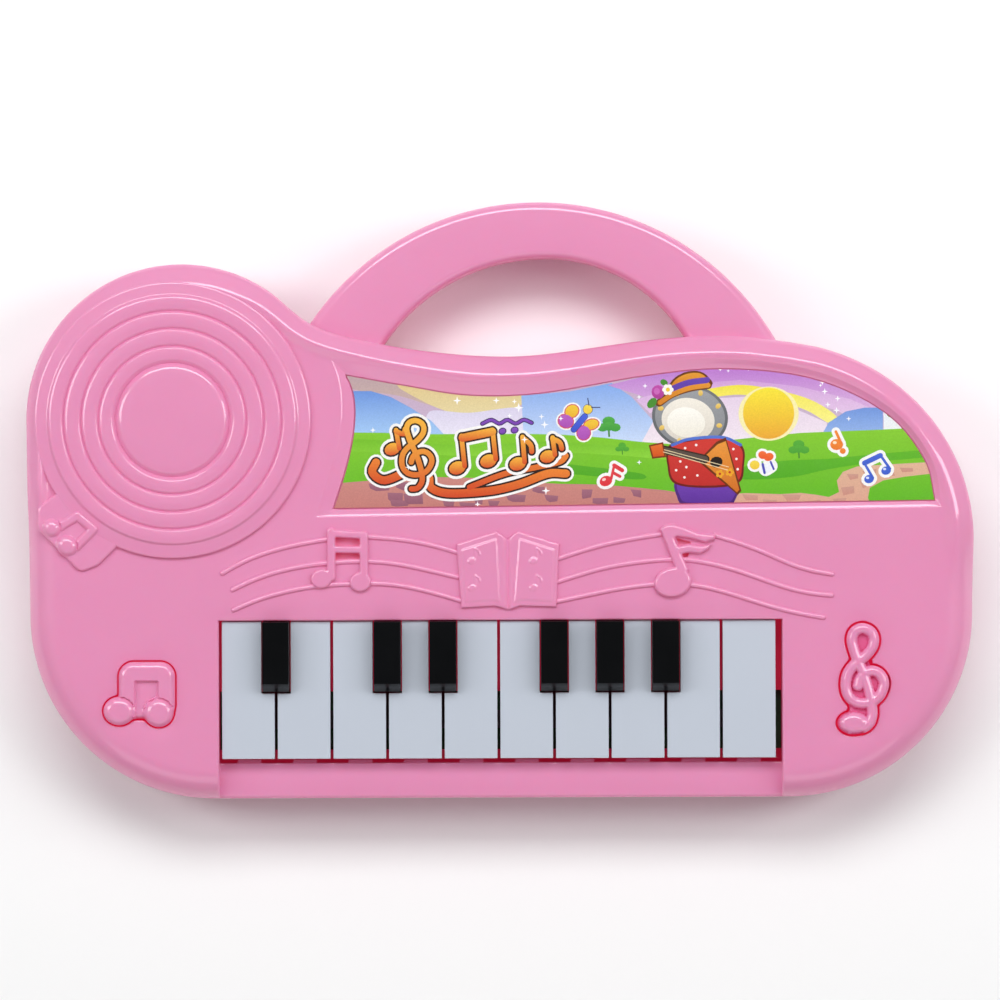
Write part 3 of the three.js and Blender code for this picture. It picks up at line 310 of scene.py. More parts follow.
class Skin:
    """Points and faces of one mesh, in mm."""

    def __init__(self):
        self.points = []
        self.faces = []
        self.painted_shade_faces = set()

    def add(self, xy, z):
        """Adds points at height z, one number or one each, and returns their indices."""
        first = len(self.points)
        heights = np.broadcast_to(np.asarray(z, float), (len(xy),))
        self.points += [(x, y, h) for (x, y), h in zip(xy, heights)]
        return np.arange(first, first + len(xy))

    def strip(self, lower, upper, closed=True, in_painted_shade=False):
        """Quads between two rings of points; those in_painted_shade take the mesh's second material, a pink
        with painted shade.
        """
        n = len(lower)
        for i in range(n if closed else n - 1):
            j = (i + 1) % n
            if in_painted_shade:
                self.painted_shade_faces.add(len(self.faces))
            self.faces.append((lower[i], lower[j], upper[j], upper[i]))

    def loft(self, rings, closed=True):
        """Strips from each ring to the next."""
        for lower, upper in zip(rings, rings[1:]):
            self.strip(lower, upper, closed)

    def triangles(self, index, faces, flip=False):
        for a, b, c in faces:
            corners = (index[a], index[b], index[c])
            self.faces.append(corners[::-1] if flip else corners)

    def cap(self, ring, line, flip=False):
        """Flat faces inside a ring whose points lie on the line."""
        self.triangles(ring, triangulated([line])[1], flip)

    def mesh(self, name, merge=2e-3):
        mesh = bpy.data.meshes.new(name)
        points = [tuple(float(c) * MM for c in p) for p in self.points]
        mesh.from_pydata(points, [], [tuple(map(int, face)) for face in self.faces])
        mesh.polygons.foreach_set("material_index", [int(i in self.painted_shade_faces) for i in range(len(self.faces))])
        shape = bmesh.new()
        shape.from_mesh(mesh)
        bmesh.ops.remove_doubles(shape, verts=shape.verts, dist=merge * MM)
        bmesh.ops.dissolve_degenerate(shape, edges=shape.edges, dist=1e-3 * MM)
        bmesh.ops.recalc_face_normals(shape, faces=shape.faces)
        shape.to_mesh(mesh)
        shape.free()
        mesh.validate()
        return mesh


def piece(name, mesh, slot="pink_plastic", material=None, body="case", replaces=(), sharp=38):
    """An object that rides on a body, smooth except where its faces meet at more than the sharp angle."""
    made = bpy.data.objects.new(name, mesh)
    bpy.context.scene.collection.objects.link(made)
    mesh.materials.append(material or BY_SLOT[slot])
    mesh.shade_smooth()
    mesh.set_sharp_from_angle(angle=math.radians(sharp))
    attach(made, body)
    if replaces:
        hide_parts(*replaces)
    return made


def relief(name, outline, height, bottom, spacing=0.3, painted_shade_below=None, **where):
    """A raised piece: an upright wall along the outline under a top surface of height(points, depth).

    Parts of the top below the painted_shade_below level take a second material, pink with painted shade and
    a painted glow.
    """
    rings = (0.08, 0.25, 0.5)
    skin = Skin()
    inner = inward(outline)
    extra = [grid_inside(outline, spacing, max(rings) + spacing * 0.45)]
    for depth in rings:
        ring = outline + inner * depth
        keep = inside(ring, outline) & (np.abs(distance_to(ring, outline)[0] - depth) < 0.3 * depth)
        extra.append(ring[keep])
    points, faces = triangulated([outline], np.vstack(extra))
    depth = distance_to(points, outline)[0]
    depth[: len(outline)] = 0
    heights = height(points, depth)
    top = skin.add(points, heights)
    if painted_shade_below:
        skin.painted_shade_faces.update(np.flatnonzero(heights[faces].mean(1) < painted_shade_below).tolist())
    skin.triangles(top, faces)
    base = skin.add(outline, bottom)
    skin.strip(base, top[: len(outline)])
    skin.cap(base, outline, flip=True)
    made = piece(name, skin.mesh(name), **where)
    # sunk parts take pink with painted shade and a painted glow as the second material
    if painted_shade_below:
        made.data.materials.append(RECESS_PAINTED_SHADE)
    return made


def turned(name, profile, centre, sides=160, **where):
    """A solid of revolution about a vertical line. The profile is [radius, z] pairs."""
    skin = Skin()
    rings = [skin.add(circle(*centre, max(radius, 1e-4), sides), z) for radius, z in profile]
    skin.loft(rings)
    return piece(name, skin.mesh(name, merge=1e-2), **where)


def bead(name, line, radius, z):
    """A round bead along a flat line, with domed ends."""
    sides = 12
    line = resampled(line, 1.0)
    side = inward(line, closed=False)
    way = np.stack([side[:, 1], -side[:, 0]], 1)
    before = [line[0] - way[0] * radius * back for back in (0.7, 0.35)]
    beyond = [line[-1] + way[-1] * radius * on for on in (0.35, 0.7)]
    centres = [*before, *line, *beyond]
    sizes = [0.35, 0.8] + [1.0] * len(line) + [0.8, 0.35]
    crossings = [side[0], side[0], *side, side[-1], side[-1]]
    skin = Skin()
    rings = []
    for centre, size, across in zip(centres, sizes, crossings):
        first = len(skin.points)
        for k in range(sides):
            a = 2 * math.pi * k / sides
            x, y = centre + across * radius * size * math.cos(a)
            skin.points.append((x, y, z + radius * size * math.sin(a)))
        rings.append(list(range(first, first + sides)))
    skin.loft(rings)
    skin.faces += [tuple(rings[0]), tuple(rings[-1][::-1])]
    return piece(name, skin.mesh(name))


# ------------------------------------------------------------------ materials


class Nodes:
    """Short calls for building one material's nodes."""

    def __init__(self, name):
        self.material = bpy.data.materials.new(name)
        self.material.use_nodes = True
        self.tree = self.material.node_tree
        self.shader = self.tree.nodes["Principled BSDF"]

    def node(self, kind, **values):
        made = self.tree.nodes.new(kind)
        for key, value in values.items():
            if hasattr(made, key):
                setattr(made, key, value)
            else:
                made.inputs[key.replace("_", " ")].default_value = value
        return made

    def link(self, out, into):
        self.tree.links.new(out, into)

    def noise(self, scale, detail=3.0, roughness=0.5):
        where = self.node("ShaderNodeTexCoord")
        made = self.node("ShaderNodeTexNoise", Scale=scale, Detail=detail, Roughness=roughness)
        self.link(where.outputs["Object"], made.inputs["Vector"])
        return made.outputs["Fac"]

    def span(self, value, low, high):
        """A noise value, which is mostly between 0.3 and 0.7, spread from low to high."""
        made = self.node("ShaderNodeMapRange", From_Min=0.3, From_Max=0.7, To_Min=low, To_Max=high)
        self.link(value, made.inputs["Value"])
        return made.outputs["Result"]

    def mix(self, factor, one, other, blend="MIX"):
        made = self.node("ShaderNodeMix", data_type="RGBA", blend_type=blend)
        sockets = {s.identifier: s for s in made.inputs}
        for key, value in (("Factor_Float", factor), ("A_Color", one), ("B_Color", other)):
            if isinstance(value, bpy.types.NodeSocket):
                self.link(value, sockets[key])
            else:
                sockets[key].default_value = value
        return {s.identifier: s for s in made.outputs}["Result_Color"]

    def bump(self, value, strength, distance):
        made = self.node("ShaderNodeBump", Strength=strength, Distance=distance)
        self.link(value, made.inputs["Height"])
        self.link(made.outputs["Normal"], self.shader.inputs["Normal"])

    def set(self, **values):
        for key, value in values.items():
            self.shader.inputs[key.replace("_", " ")].default_value = value


def colour(r, g, b):
    """A colour given in sRGB bytes, as linear RGBA."""
    linear = [((c / 255 + 0.055) / 1.055) ** 2.4 if c > 10 else c / 255 / 12.92 for c in (r, g, b)]
    return (*linear, 1.0)


def plastic(
    name,
    rgb,
    roughness=0.3,
    vary=0.012,
    grain=0.02,
    gloss=0.5,
    glow=0.0,
    coat=0.0,
    coat_ior=1.5,
    painted_glow=None,
):
    """Moulded plastic: faint flow mottling, a fine mould grain, and gloss that varies a little.

    glow is the share of light scattered under the surface, and painted_glow is a painted glow: an emission
    colour that stands in for the faint light coming through from the lit side of a translucent wall, and
    tints the shade red.
    """
    n = Nodes(name)
    base = colour(*rgb)
    darker = tuple(c * (1 - vary) for c in base[:3]) + (1.0,)
    lighter = tuple(min(1.0, c * (1 + vary)) for c in base[:3]) + (1.0,)
    mottle = n.noise(45.0, 4.0, 0.6)
    n.link(n.mix(n.span(mottle, 0, 1), darker, lighter), n.shader.inputs["Base Color"])
    smear = n.noise(160.0, 3.0, 0.5)
    n.link(n.span(smear, roughness * 0.95, roughness * 1.06), n.shader.inputs["Roughness"])
    n.bump(n.noise(5200.0, 2.0, 0.6), grain, 0.0002)
    n.set(Specular_IOR_Level=gloss, Coat_Weight=coat, Coat_Roughness=0.07, Coat_IOR=coat_ior)
    # painted glow: emission that brightens the plastic from within, most of all in its shade
    if painted_glow:
        n.set(Emission_Color=(*painted_glow, 1), Emission_Strength=1.0)
        n.material.cycles.emission_sampling = "NONE"
    if glow:
        n.set(Subsurface_Weight=glow, Subsurface_Scale=0.002, Subsurface_Radius=(1.0, 0.12, 0.22))
    return n.material


def metal(name, rgb, roughness):
    """Bright metal with small dull patches and uneven gloss."""
    n = Nodes(name)
    base = colour(*rgb)
    worn = tuple(c * 0.7 for c in base[:3]) + (1.0,)
    n.link(n.mix(n.span(n.noise(300.0, 5.0, 0.7), 0, 1), worn, base), n.shader.inputs["Base Color"])
    n.link(n.span(n.noise(900.0, 3.0), roughness * 0.7, roughness * 1.4), n.shader.inputs["Roughness"])
    n.bump(n.noise(2500.0, 2.0), 0.05, 0.0002)
    n.set(Metallic=1.0)
    return n.material


def hexed(text):
    """Linear RGB of a printing ink given as six hexadecimal digits."""
    return colour(*(int(text[i : i + 2], 16) for i in (0, 2, 4)))[:3]


def printed(name):
    """Ink on film: colours from the mesh's own layer, with a fine screen grain and a satin coat."""
    n = Nodes(name)
    ink = n.node("ShaderNodeAttribute", attribute_name="print")
    faint = n.mix(n.span(n.noise(2600.0, 2.0), 0, 1), (0.9, 0.9, 0.9, 1), (1, 1, 1, 1))
    n.link(n.mix(1.0, ink.outputs["Color"], faint, "MULTIPLY"), n.shader.inputs["Base Color"])
    n.link(n.span(n.noise(400.0, 3.0), 0.3, 0.4), n.shader.inputs["Roughness"])
    n.bump(n.noise(3000.0, 2.0), 0.02, 0.0001)
    n.set(Specular_IOR_Level=0.4)
    return n.material


BY_SLOT = {
    "printed_sticker": printed("printed_sticker"),
    "pink_plastic": plastic(
        "pink_plastic",
        (212, 142, 182),
        roughness=0.42,
        gloss=0.3,
        glow=0.2,
        coat=0.38,
        coat_ior=2.4,
        # painted glow that fills the pink's shade with red
        painted_glow=(0.125, 0.002, 0.01),
    ),
}
# Painted shade for the pink walls of narrow gaps, darker and redder, with a painted glow for the light that
# comes through them; and painted shade for sunk parts
GAP_PAINTED_SHADE = plastic("pink_painted_gap_shade_and_glow", (200, 40, 90), roughness=0.5, painted_glow=(0.3, 0.002, 0.02))
RECESS_PAINTED_SHADE = plastic("pink_painted_recess_shade", (200, 90, 140), roughness=0.45, painted_glow=(0.12, 0.002, 0.012))
PLASTICS = {
    # the deep pink carries a painted glow as well
    "deep_pink_plastic": dict(rgb=(214, 34, 80), roughness=0.4, painted_glow=(0.16, 0.004, 0.016)),
    "white_key_plastic": dict(rgb=(192, 199, 211), roughness=0.3, vary=0.006, coat=0.5),
    "black_key_plastic": dict(rgb=(7, 8, 10), roughness=0.3, vary=0.15, gloss=0.16),
    "black_plastic": dict(rgb=(24, 24, 27), roughness=0.4, vary=0.15, grain=0.06),
    "green_board": dict(rgb=(32, 92, 58), roughness=0.45, vary=0.18),
    "contact_rubber": dict(rgb=(92, 96, 102), roughness=0.75, vary=0.06, grain=0.08, gloss=0.25),
    "epoxy": dict(rgb=(14, 14, 16), roughness=0.35, vary=0.2),
    "cell_sleeve": dict(rgb=(36, 92, 150), roughness=0.3, vary=0.05),
    "cone_paper": dict(rgb=(40, 40, 44), roughness=0.9, vary=0.15, grain=0.3),
    "red_wire": dict(rgb=(176, 26, 24), roughness=0.4),
    "black_wire": dict(rgb=(22, 22, 24), roughness=0.4),
}
BY_SLOT.update({slot: plastic(slot, **looks) for slot, looks in PLASTICS.items()})
BY_SLOT["plated_steel"] = metal("plated_steel", (196, 198, 204), 0.28)
BY_SLOT["speaker_steel"] = metal("speaker_steel", (150, 152, 158), 0.4)

# ------------------------------------------------------------------ border of the case


def case_border():
    """The border from the right cheek anticlockwise round to the left one."""
    line = np.vstack(
        [
            [(CHEEK_X + CHEEK_FILLET, FRONT_Y)],
            arc(RIGHT_CORNER, -90, 0),
            arc(RIGHT_SIDE, 0, 58),
            arc(SHOULDER, 58, 84),
            bezier(SHOULDER_END, (46, 46.5), (22, 37.8), WAIST),
            bezier(WAIST, (-20, 37.8), (-45, 43.5), LOBE_END),
            arc(LOBE, 38, 180),
            arc(LEFT_CORNER, 180, 270),
            [(-CHEEK_X - CHEEK_FILLET, FRONT_Y)],
        ]
    )
    line = resampled(line, 0.6)
    for kink, reach in ((LOBE_END, 12), (SHOULDER_END, 9)):
        weight = 1 - smoothstep(reach * 0.5, reach, np.linalg.norm(line - kink, axis=1))
        for _ in range(120):
            mean = (np.roll(line, 1, 0) + np.roll(line, -1, 0)) / 2
            mean[0], mean[-1] = line[0], line[-1]
            line = line + (mean - line) * (0.5 * weight)[:, None]
    return resampled(line, 1.2)


BORDER = case_border()
BORDER_IN = inward(BORDER, closed=False)
BORDER_IN[0] = BORDER_IN[-1] = (0, 1)

# How much of the raised rim stands at each point of the border, from 0 on the lower part to 1 on the upper
RIM_SHARE = np.where(BORDER[:, 0] < 0, smoothstep(-12, 4, BORDER[:, 1]), smoothstep(-27, -4, BORDER[:, 1]))
# How far in from the border the rim's crest runs, along the toy and then down the left side
RIM_SPREAD = [
    *((-100, 1.18), (-67, 1.16), (-56, 0.94), (-40, 0.9)),
    *((-24, 1.0), (-7, 1.13), (24, 1.1), (42, 1.0)),
]
RIM_SCALE = np.interp(BORDER[:, 0], *np.array(RIM_SPREAD).T)
RIM_SCALE *= np.where(BORDER[:, 0] < -95, 1 - 0.36 * (1 - smoothstep(28, 58, BORDER[:, 1])), 1.0)

# Depth in from the border and height of the rim's section
RIM = np.array(
    [(0, 25.0), (0.08, 25.6), (0.3, 26.15), (0.7, 26.62), (1.3, 27.1), (2.0, 27.6), (2.7, 28.1)]
    + [(3.3, 28.53), (3.65, 28.76), (4.0, 28.95), (4.35, 29.08), (4.75, 29.15), (5.15, 29.1)]
    + [(5.6, 28.93), (6.2, 28.62), (6.9, 28.3), (7.7, 28.1), (8.6, 28.01), (9.4, 28.0)]
)
RIM_END = 10.6  # depth of the last ring of points, on the flat face
RING_COUNT = 11  # rings of the rim table that are lofted; the rest are points of the face


def plain_edge(depth):
    return FACE_Z - rounded(depth, EDGE_ROUND)


def face_height(points):
    """Height of the face and its rim at any point, before recesses."""
    depth, nearest = distance_to(points, BORDER, closed=False)
    share, scale = RIM_SHARE[nearest], RIM_SCALE[nearest]
    return (1 - share) * plain_edge(depth) + share * np.interp(depth / scale, RIM[:, 0], RIM[:, 1])


def border_ring(k):
    """Ring k of the case's edge: its points and their heights."""
    last_turn = math.radians(72)
    share = (1 - math.cos(last_turn * k / (RING_COUNT - 1))) / (1 - math.cos(last_turn))
    low_depth = RIM[RING_COUNT - 1, 0] * share
    depth = (1 - RIM_SHARE) * low_depth + RIM_SHARE * RIM[k, 0] * RIM_SCALE
    height = (1 - RIM_SHARE) * plain_edge(low_depth) + RIM_SHARE * RIM[k, 1]
    return BORDER + BORDER_IN * depth[:, None], height


# ------------------------------------------------------------------ openings in the face

NOTE_HEADS = [(-100.4, -55.2, 4.15, 3.75), (-90.0, -55.6, 3.9, 3.85)]


def note_heads(points):
    return union(*[ellipse_field(points, *head) for head in NOTE_HEADS])


def note_field(points):
    frame_part = box_field(points, -100.5, -85.7, -57.4, -42.3, 3.9)
    left_head, right_head = (ellipse_field(points, *head) for head in NOTE_HEADS)
    gap = box_field(points, -96.9, -93.6, -70, -57.3, 0.3)
    return np.maximum(union(frame_part, left_head, right_head, soft=0.5), -gap)


NOTE_GUESS = [
    *((-101, -42), (-85.5, -42), (-85.4, -56), (-89, -59.8), (-93, -58.2)),
    *((-97, -58.2), (-100, -59.3), (-104.8, -56), (-104, -53), (-101, -51)),
]

CLEF_STRAND = 1.3
CLEF_POINTS = [
    *((94.0, -49.2), (94.6, -47.2), (96.1, -45.8), (98.0, -45.3), (99.8, -46.2), (100.8, -48.2)),
    *((100.4, -50.4), (99.2, -52.3), (97.3, -53.5), (95.0, -53.8), (92.9, -53.2), (91.4, -51.5)),
    *((90.85, -49.0), (91.3, -46.2), (92.8, -44.0), (94.5, -42.6), (96.4, -40.9), (97.9, -38.8)),
    *((98.2, -36.6), (97.3, -34.9), (95.3, -34.1), (93.3, -34.9), (92.5, -36.9), (92.9, -39.2)),
    *((93.9, -42.2), (95.2, -45.2), (96.3, -48.4), (97.1, -51.4), (97.6, -54.4)),
]
CLEF_TAIL = [(97.7, -56.9), (97.0, -58.9), (95.6, -60.1), (93.8, -60.2)]
CLEF_SPIRAL = spline(CLEF_POINTS + CLEF_TAIL, per_span=4)
CLEF_BULB = (92.8, -59.0, 4.1, 3.0)


def clef_field(points):
    strand = line_field(points, CLEF_SPIRAL, CLEF_STRAND + 0.1)
    bulb = ellipse_field(points, *CLEF_BULB)
    throat = box_field(points, 91.9, 98.3, -59.5, -53.5, 0.8)
    return union(strand, bulb, throat, soft=0.6)


CLEF_GUESS = [
    *((95.3, -32.8), (99.6, -36.5), (97.6, -42.2), (102.2, -48.4), (99, -54), (98.8, -57), (96, -61.5)),
    *((92, -62.6), (88.6, -60), (91.2, -55.6), (89.5, -50), (91, -44.4), (93, -42.6), (91, -37)),
]

NOTE_OUTLINE = contour(note_field, NOTE_GUESS)
CLEF_OUTLINE = contour(clef_field, CLEF_GUESS)
HOLE_ROUND = 0.3
# Each button's field, a line near its outline, and the gap between it and its hole
BUTTON_HOLES = [(note_field, NOTE_GUESS, 0.4), (clef_field, CLEF_GUESS, 0.56)]

# Small pockets sunk in the face between the strands of the raised notes
POCKET_Z = 26.7
POCKETS = [
    [(-43.5, -9.7), (-37.0, -10.3), (-37.0, -12.0), (-43.5, -12.0)],
    [(-43.5, -13.8), (-37.0, -14.0), (-37.0, -15.5), (-43.5, -15.5)],
    [(46.5, -10.2), (50.3, -11.2), (49.8, -12.1), (47.0, -12.6)],
    [(47.3, -13.9), (49.8, -14.2), (49.3, -15.4), (48.0, -16.2)],
]


def closed_line(points, spacing=0.5):
    """Points at even distances round a closed line."""
    return resampled(np.array(points, float), spacing, closed=True)


# Sticker: its outline and the outer edge of the bevelled surround, matched point by point
STICKER_CORNERS = [(-43.7, -2.0), (114.4, -0.3)]
SURROUND_CORNERS = [(-48.7, -4.4), (116.3, -2.2), (-44.3, 37.0)]
STICKER_TOP_LINE = [
    *((114.4, -0.3), (111.9, 9.8), (103.8, 20.6), (91.4, 28.3), (76.6, 32.8), (56.8, 34.2)),
    *((37.5, 32.3), (10.5, 27.9), (-8.3, 27.5), (-25, 30.1), (-40.4, 32.9)),
]
STICKER_BEVEL = [1.9, 1.9, 1.9, 2.2, 2.5, 3.2, 3.6, 3.6, 3.6, 3.8, 4.2]
SURROUND_BOTTOM, SURROUND_TOP, SURROUND_LEFT = 130, 150, 32  # points along each side
# Share of the way in, and share of the fall there: under the rim, then along the bottom and the left
SURROUND_FALL = [
    (0.04, 0.01, 0.04),
    (0.09, 0.05, 0.13),
    (0.15, 0.11, 0.19),
    (0.5, 0.47, 0.34),
    (0.95, 0.97, 0.55),
    (1.0, 1.0, 1.0),
]


def bowed(start, middle, end, count):
    """A quadratic curve without its last point."""
    t = np.linspace(0, 1, count, endpoint=False)[:, None]
    return (1 - t) ** 2 * np.array(start) + 2 * t * (1 - t) * np.array(middle) + t * t * np.array(end)


def sticker_sides():
    """The sticker's outline and its surround's, both anticlockwise from the lower left corner."""
    low_left, low_right, high_left = SURROUND_CORNERS
    bottom = np.linspace(*STICKER_CORNERS, SURROUND_BOTTOM, endpoint=False)
    bottom_out = np.linspace(low_left, low_right, SURROUND_BOTTOM, endpoint=False)
    line = spline(STICKER_TOP_LINE, per_span=30)
    widths = np.interp(np.linspace(0, 1, len(line)), np.linspace(0, 1, len(STICKER_BEVEL)), STICKER_BEVEL)
    line_out = line - inward(line, closed=False) * widths[:, None]
    spread = np.linspace(0, len(line) - 1, SURROUND_TOP, endpoint=False)
    top, top_out = (
        np.stack([np.interp(spread, np.arange(len(line)), way[:, k]) for k in (0, 1)], 1)
        for way in (line, line_out)
    )
    # The outer line is drawn in to the surround's corners at both ends
    order = np.arange(SURROUND_TOP)
    ease = smoothstep(0, 6, order)[:, None]
    top_out = top_out * ease + (top - top[0] + low_right) * (1 - ease)
    ease = smoothstep(0, 5, order[::-1])[:, None]
    top_out = top_out * ease + (top - top[-1] + high_left) * (1 - ease)
    left = bowed(STICKER_TOP_LINE[-1], (-34.2, 23.8), STICKER_CORNERS[0], SURROUND_LEFT)
    left_out = bowed((-44.4, 37.1), (-37.6, 24.2), low_left, SURROUND_LEFT)
    return np.vstack([bottom, top, left]), np.vstack([bottom_out, top_out, left_out])


STICKER_LINE, SURROUND_LINE = sticker_sides()

# ------------------------------------------------------------------ upper shell


def window_path():
    """Points along the left cheek, the window's three edges and the right cheek, with outward ways."""
    ring_y = [FRONT_Y] + [border_ring(k)[0][-1, 1] for k in range(RING_COUNT)]
    side_y = np.concatenate([ring_y, np.linspace(ring_y[-1], WINDOW_REAR, 30)[1:-1]])
    left = np.stack([np.full(len(side_y), -CHEEK_X), side_y], 1)
    rear = np.linspace((-CHEEK_X, WINDOW_REAR), (CHEEK_X, WINDOW_REAR), 100)
    right = left[::-1] * (-1, 1)
    away = np.repeat([(-1.0, 0.0), (0.0, 1.0), (1.0, 0.0)], [len(left), len(rear), len(right)], axis=0)
    away[len(left)] = (-1, 1)
    away[-len(right) - 1] = (1, 1)
    return np.vstack([left, rear, right]), away


def face_points(outer_loop, holes, pockets):
    """Points of the face: the rim's inner rings, a wide grid and rows beside the openings."""
    points = []
    for depth in (*RIM[RING_COUNT:, 0], RIM_END):
        ring = BORDER + BORDER_IN * (depth * np.where(RIM_SHARE > 0, RIM_SCALE, 1))[:, None]
        points.append(ring if depth < 9 else ring[::2])
    points = np.vstack([*points, grid_inside(outer_loop, 6.0, 3.0)])
    points = points[inside(points, outer_loop)]
    points = points[distance_to(points, outer_loop)[0] > 0.25]
    for hole in (*holes, *pockets):
        points = points[~inside(points, hole)]
        points = points[distance_to(points, hole)[0] > 0.9]
    # The rows keep the openings' edges from shading the flat face
    for hole in holes:
        for beside in (0.3, 0.8):
            row = hole - inward(hole) * beside
            points = np.vstack([points, row[distance_to(row, hole)[0] > 0.9 * beside]])
    return points


def case_top():
    """The upper shell without its handle: the edge, the face with its openings, and the hollow inside."""
    skin = Skin()
    rings = [skin.add(BORDER, PARTING_TOP)]
    heights = [np.full(len(BORDER), PARTING_TOP)]
    for k in range(RING_COUNT):
        points, height = border_ring(k)
        rings.append(skin.add(points, height))
        heights.append(height)
    skin.loft(rings, closed=False)

    # The path's first row is the fillet's outer line, which starts with the loft's own end columns
    path, away = window_path()
    ends = len(rings)
    row_xy = path + away * CHEEK_FILLET
    row_z = face_height(row_xy)
    row_z[:ends] = [h[-1] for h in heights]
    row_z[-ends:] = [h[0] for h in heights][::-1]
    rows = [skin.add(row_xy, row_z)]
    fillet = ((0.34, 0.05), (0.12, 0.22), (0.0, 0.55))  # how far out and how far down each row lies
    for offset, drop in fillet:
        rows.append(skin.add(path + away * offset, np.maximum(row_z - drop, PARTING_TOP)))
    wall_z = np.where(path[:, 1] < -70, PARTING_TOP, SKIRT_Z)  # beside the rail it reaches the parting
    rows.append(skin.add(path, wall_z))
    skin.loft(rows[::-1], closed=False)

    # The face between the loft's last ring, the window and the holes
    last_xy, last_z = border_ring(RING_COUNT - 1)
    inner_row = slice(ends, len(path) - ends)
    outer_loop = np.vstack([last_xy, row_xy[inner_row]])
    outer_z = np.concatenate([last_z, row_z[inner_row]])
    holes = [contour(field, guess, gap + HOLE_ROUND) for field, guess, gap in BUTTON_HOLES]
    pockets = [closed_line(p) for p in POCKETS]
    extra = face_points(outer_loop, (*holes, SURROUND_LINE), pockets)
    points, faces = triangulated([outer_loop, *holes, SURROUND_LINE, *pockets], extra)
    height = face_height(points)
    height[: len(outer_loop)] = outer_z
    index = skin.add(points, height)
    skin.triangles(index, faces)

    # Holes of the two buttons
    start = len(outer_loop)
    hole_lines, hole_rings = [], []
    for hole, (field, _, gap) in zip(holes, BUTTON_HOLES):
        ring = index[start : start + len(hole)]
        start += len(hole)
        line = hole
        for share, drop in ((0.6, 0.04), (0.25, 0.13), (0.0, 0.3)):
            level = gap + HOLE_ROUND * share
            line = stepped(field, stepped(field, line, level), level)
            lower = skin.add(line, FACE_Z - drop)
            skin.strip(lower, ring)
            ring = lower
        lower = skin.add(line, CEILING_Z)
        # the lower walls of the holes are pink with painted shade and a painted glow
        skin.strip(lower, ring, in_painted_shade=True)
        hole_lines.append(line)
        hole_rings.append(lower)

    # The sticker's bevelled surround and the recess it lies in
    ring = index[start : start + len(SURROUND_LINE)]
    surround_z = height[start : start + len(SURROUND_LINE)]
    start += len(SURROUND_LINE)
    lip = STICKER_LINE - inward(STICKER_LINE) * 0.3
    order = np.arange(len(lip))
    flat = (order <= SURROUND_BOTTOM) | (order >= len(lip) - SURROUND_LEFT)
    for share, slope_fall, flat_fall in SURROUND_FALL:
        line = SURROUND_LINE * (1 - share) + lip * share
        fall = np.where(flat, flat_fall, slope_fall)
        lower = skin.add(line, surround_z * (1 - fall) + (STICKER_TOP + 0.05) * fall)
        skin.strip(lower, ring)
        ring = lower
    lower = skin.add(lip, RECESS_FLOOR)
    skin.strip(lower, ring)
    skin.cap(lower, lip)

    for pocket in pockets:
        ring = index[start : start + len(pocket)]
        start += len(pocket)
        lower = skin.add(pocket, POCKET_Z)
        # the pocket walls are pink with painted shade and a painted glow
        skin.strip(lower, ring, in_painted_shade=True)
        skin.cap(lower, pocket)

    # Inside of the shell, ring by ring from the parting up to the ceiling
    cheek_wall = CHEEK_X + CHEEK_WALL
    skirt = np.concatenate([np.zeros(len(BORDER) + 3), wall_z, np.zeros(3)])
    inner = []
    for depth, z in ((WALL, PARTING_TOP), (WALL, 18.0), (3.4, 21.6), (5.6, 24.4), (9.0, CEILING_Z)):
        edge_xy = BORDER + BORDER_IN * depth
        front = (edge_xy[:, 1] < -60) & (np.abs(edge_xy[:, 0]) < cheek_wall)
        edge_xy[front, 0] = np.sign(edge_xy[front, 0]) * cheek_wall
        wall_xy = path + away * CHEEK_WALL
        wall_xy[:, 1] = np.maximum(wall_xy[:, 1], FRONT_Y + depth)
        inner_xy = np.vstack([edge_xy, *[wall_xy[:1]] * 3, wall_xy, *[wall_xy[-1:]] * 3])
        inner.append(skin.add(inner_xy, np.maximum(z, skirt)))
    skin.loft(inner[::-1])
    left_foot = [row[0] for row in rows[1:4]]
    right_foot = [row[-1] for row in rows[3:0:-1]]
    skin.strip(inner[0], np.concatenate([rings[0], left_foot, rows[4], right_foot]))

    # Ceiling, with the same button holes
    keep = np.concatenate([[True], np.linalg.norm(np.diff(inner_xy, axis=0), axis=1) > 1e-3])
    _, faces = triangulated([inner_xy[keep], *hole_lines])
    skin.triangles(np.concatenate([inner[-1][keep], *hole_rings]), faces, flip=True)
    made = piece("case_top", skin.mesh("case_top"), replaces=["top_shell"])
    # second material: pink with painted shade and a painted glow, on the walls of the holes and pockets
    made.data.materials.append(GAP_PAINTED_SHADE)


case_top()


def bar_along_x(name, profile, left, right):
    """A bar along X with the given (y, z) profile, anticlockwise seen from +X."""
    skin = Skin()
    rings = []
    for x in np.linspace(left, right, 3):
        first = len(skin.points)
        skin.points += [(x, y, z) for y, z in profile]
        rings.append(list(range(first, first + len(profile))))
    skin.loft(rings)
    skin.faces += [tuple(rings[0]), tuple(rings[-1][::-1])]
    return piece(name, skin.mesh(name))


def corner(y, z, radius, start, steps=5):
    """A rounded corner of a (y, z) profile, turning 90 degrees clockwise from the start angle."""
    made = []
    for i in range(steps + 1):
        a = math.radians(start - 90 * i / steps)
        made.append((y + radius * math.cos(a), z + radius * math.sin(a)))
    return made


